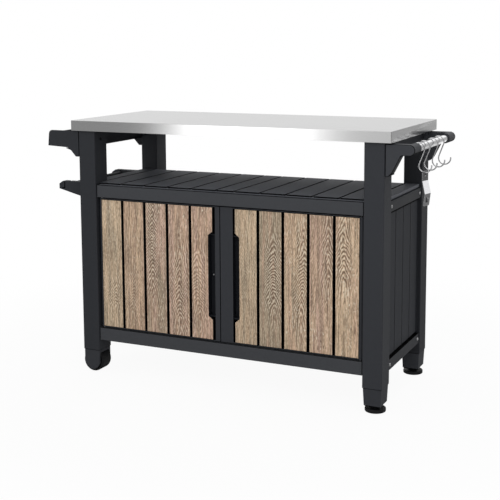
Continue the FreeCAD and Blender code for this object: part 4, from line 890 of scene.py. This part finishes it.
def studio_world():
    """White to the camera, a soft grey room to matt surfaces, a horizon and a window to gloss."""
    world = bpy.data.worlds.new("studio")
    bpy.context.scene.world = world
    world.use_nodes = True
    tree = world.node_tree
    tree.nodes.clear()
    place = add(tree, "TexCoord").outputs["Generated"]
    apart = add(tree, "SeparateXYZ", {0: place})
    left = calc(tree, "MULTIPLY", apart.outputs[0], -1.0)
    ahead = calc(tree, "MULTIPLY", apart.outputs[1], -1.0)
    height = apart.outputs[2]
    azimuth = calc(tree, "MULTIPLY", calc(tree, "ARCTAN2", left, ahead), 180.0 / math.pi)
    gloss = between(tree, ease(tree, height, *SKY_HEIGHT), horizon_band(tree, azimuth), SKY_BRIGHT)
    gloss = calc(tree, "MAXIMUM", gloss, bright_window(tree, azimuth, height))
    ray = add(tree, "LightPath")
    sharp = calc(tree, "MAXIMUM", ray.outputs["Is Glossy Ray"], ray.outputs["Is Transmission Ray"])
    level = between(tree, sharp, ROOM_LIGHT, gloss)
    level = between(tree, ray.outputs["Is Camera Ray"], level, 1.0)
    light = add(tree, "Background", {"Color": WHITE, "Strength": level})
    out = add(tree, "OutputWorld")
    tree.links.new(light.outputs[0], out.inputs[0])


def softbox(label, place, target, side, power):
    """A square lamp that looks at a target."""
    lamp = bpy.data.lights.new(label, "AREA")
    lamp.shape = "SQUARE"
    lamp.size = side
    lamp.energy = power
    holder = bpy.data.objects.new(label, lamp)
    holder.location = place
    holder.rotation_euler = (Vector(target) - Vector(place)).to_track_quat("-Z", "Y").to_euler()
    holder.visible_glossy = False
    bpy.context.scene.collection.objects.link(holder)


def photo_camera():
    """The camera where the photograph was taken from."""
    forward = Vector((math.sin(CAMERA_YAW) * math.cos(CAMERA_PITCH),
                      math.cos(CAMERA_YAW) * math.cos(CAMERA_PITCH), math.sin(CAMERA_PITCH)))
    level = Vector((math.cos(CAMERA_YAW), -math.sin(CAMERA_YAW), 0.0))
    upright = level.cross(forward)
    right = level * math.cos(CAMERA_ROLL) + upright * math.sin(CAMERA_ROLL)
    above = upright * math.cos(CAMERA_ROLL) - level * math.sin(CAMERA_ROLL)
    turn = Matrix((right, above, -forward)).transposed()
    lens = bpy.data.cameras.new("photo_camera")
    lens.lens = CAMERA_LENS
    lens.sensor_width = CAMERA_SENSOR
    lens.shift_y = CAMERA_SHIFT_Y
    camera = bpy.data.objects.new("photo_camera", lens)
    camera.matrix_world = Matrix.Translation(CAMERA_PLACE) @ turn.to_4x4()
    bpy.context.scene.collection.objects.link(camera)
    bpy.context.scene.camera = camera


studio_floor()
studio_world()
for label, (place, target, side, power) in SOFTBOXES.items():
    softbox(label, place, target, side, power)
photo_camera()
bpy.context.scene.view_settings.view_transform = "Standard"
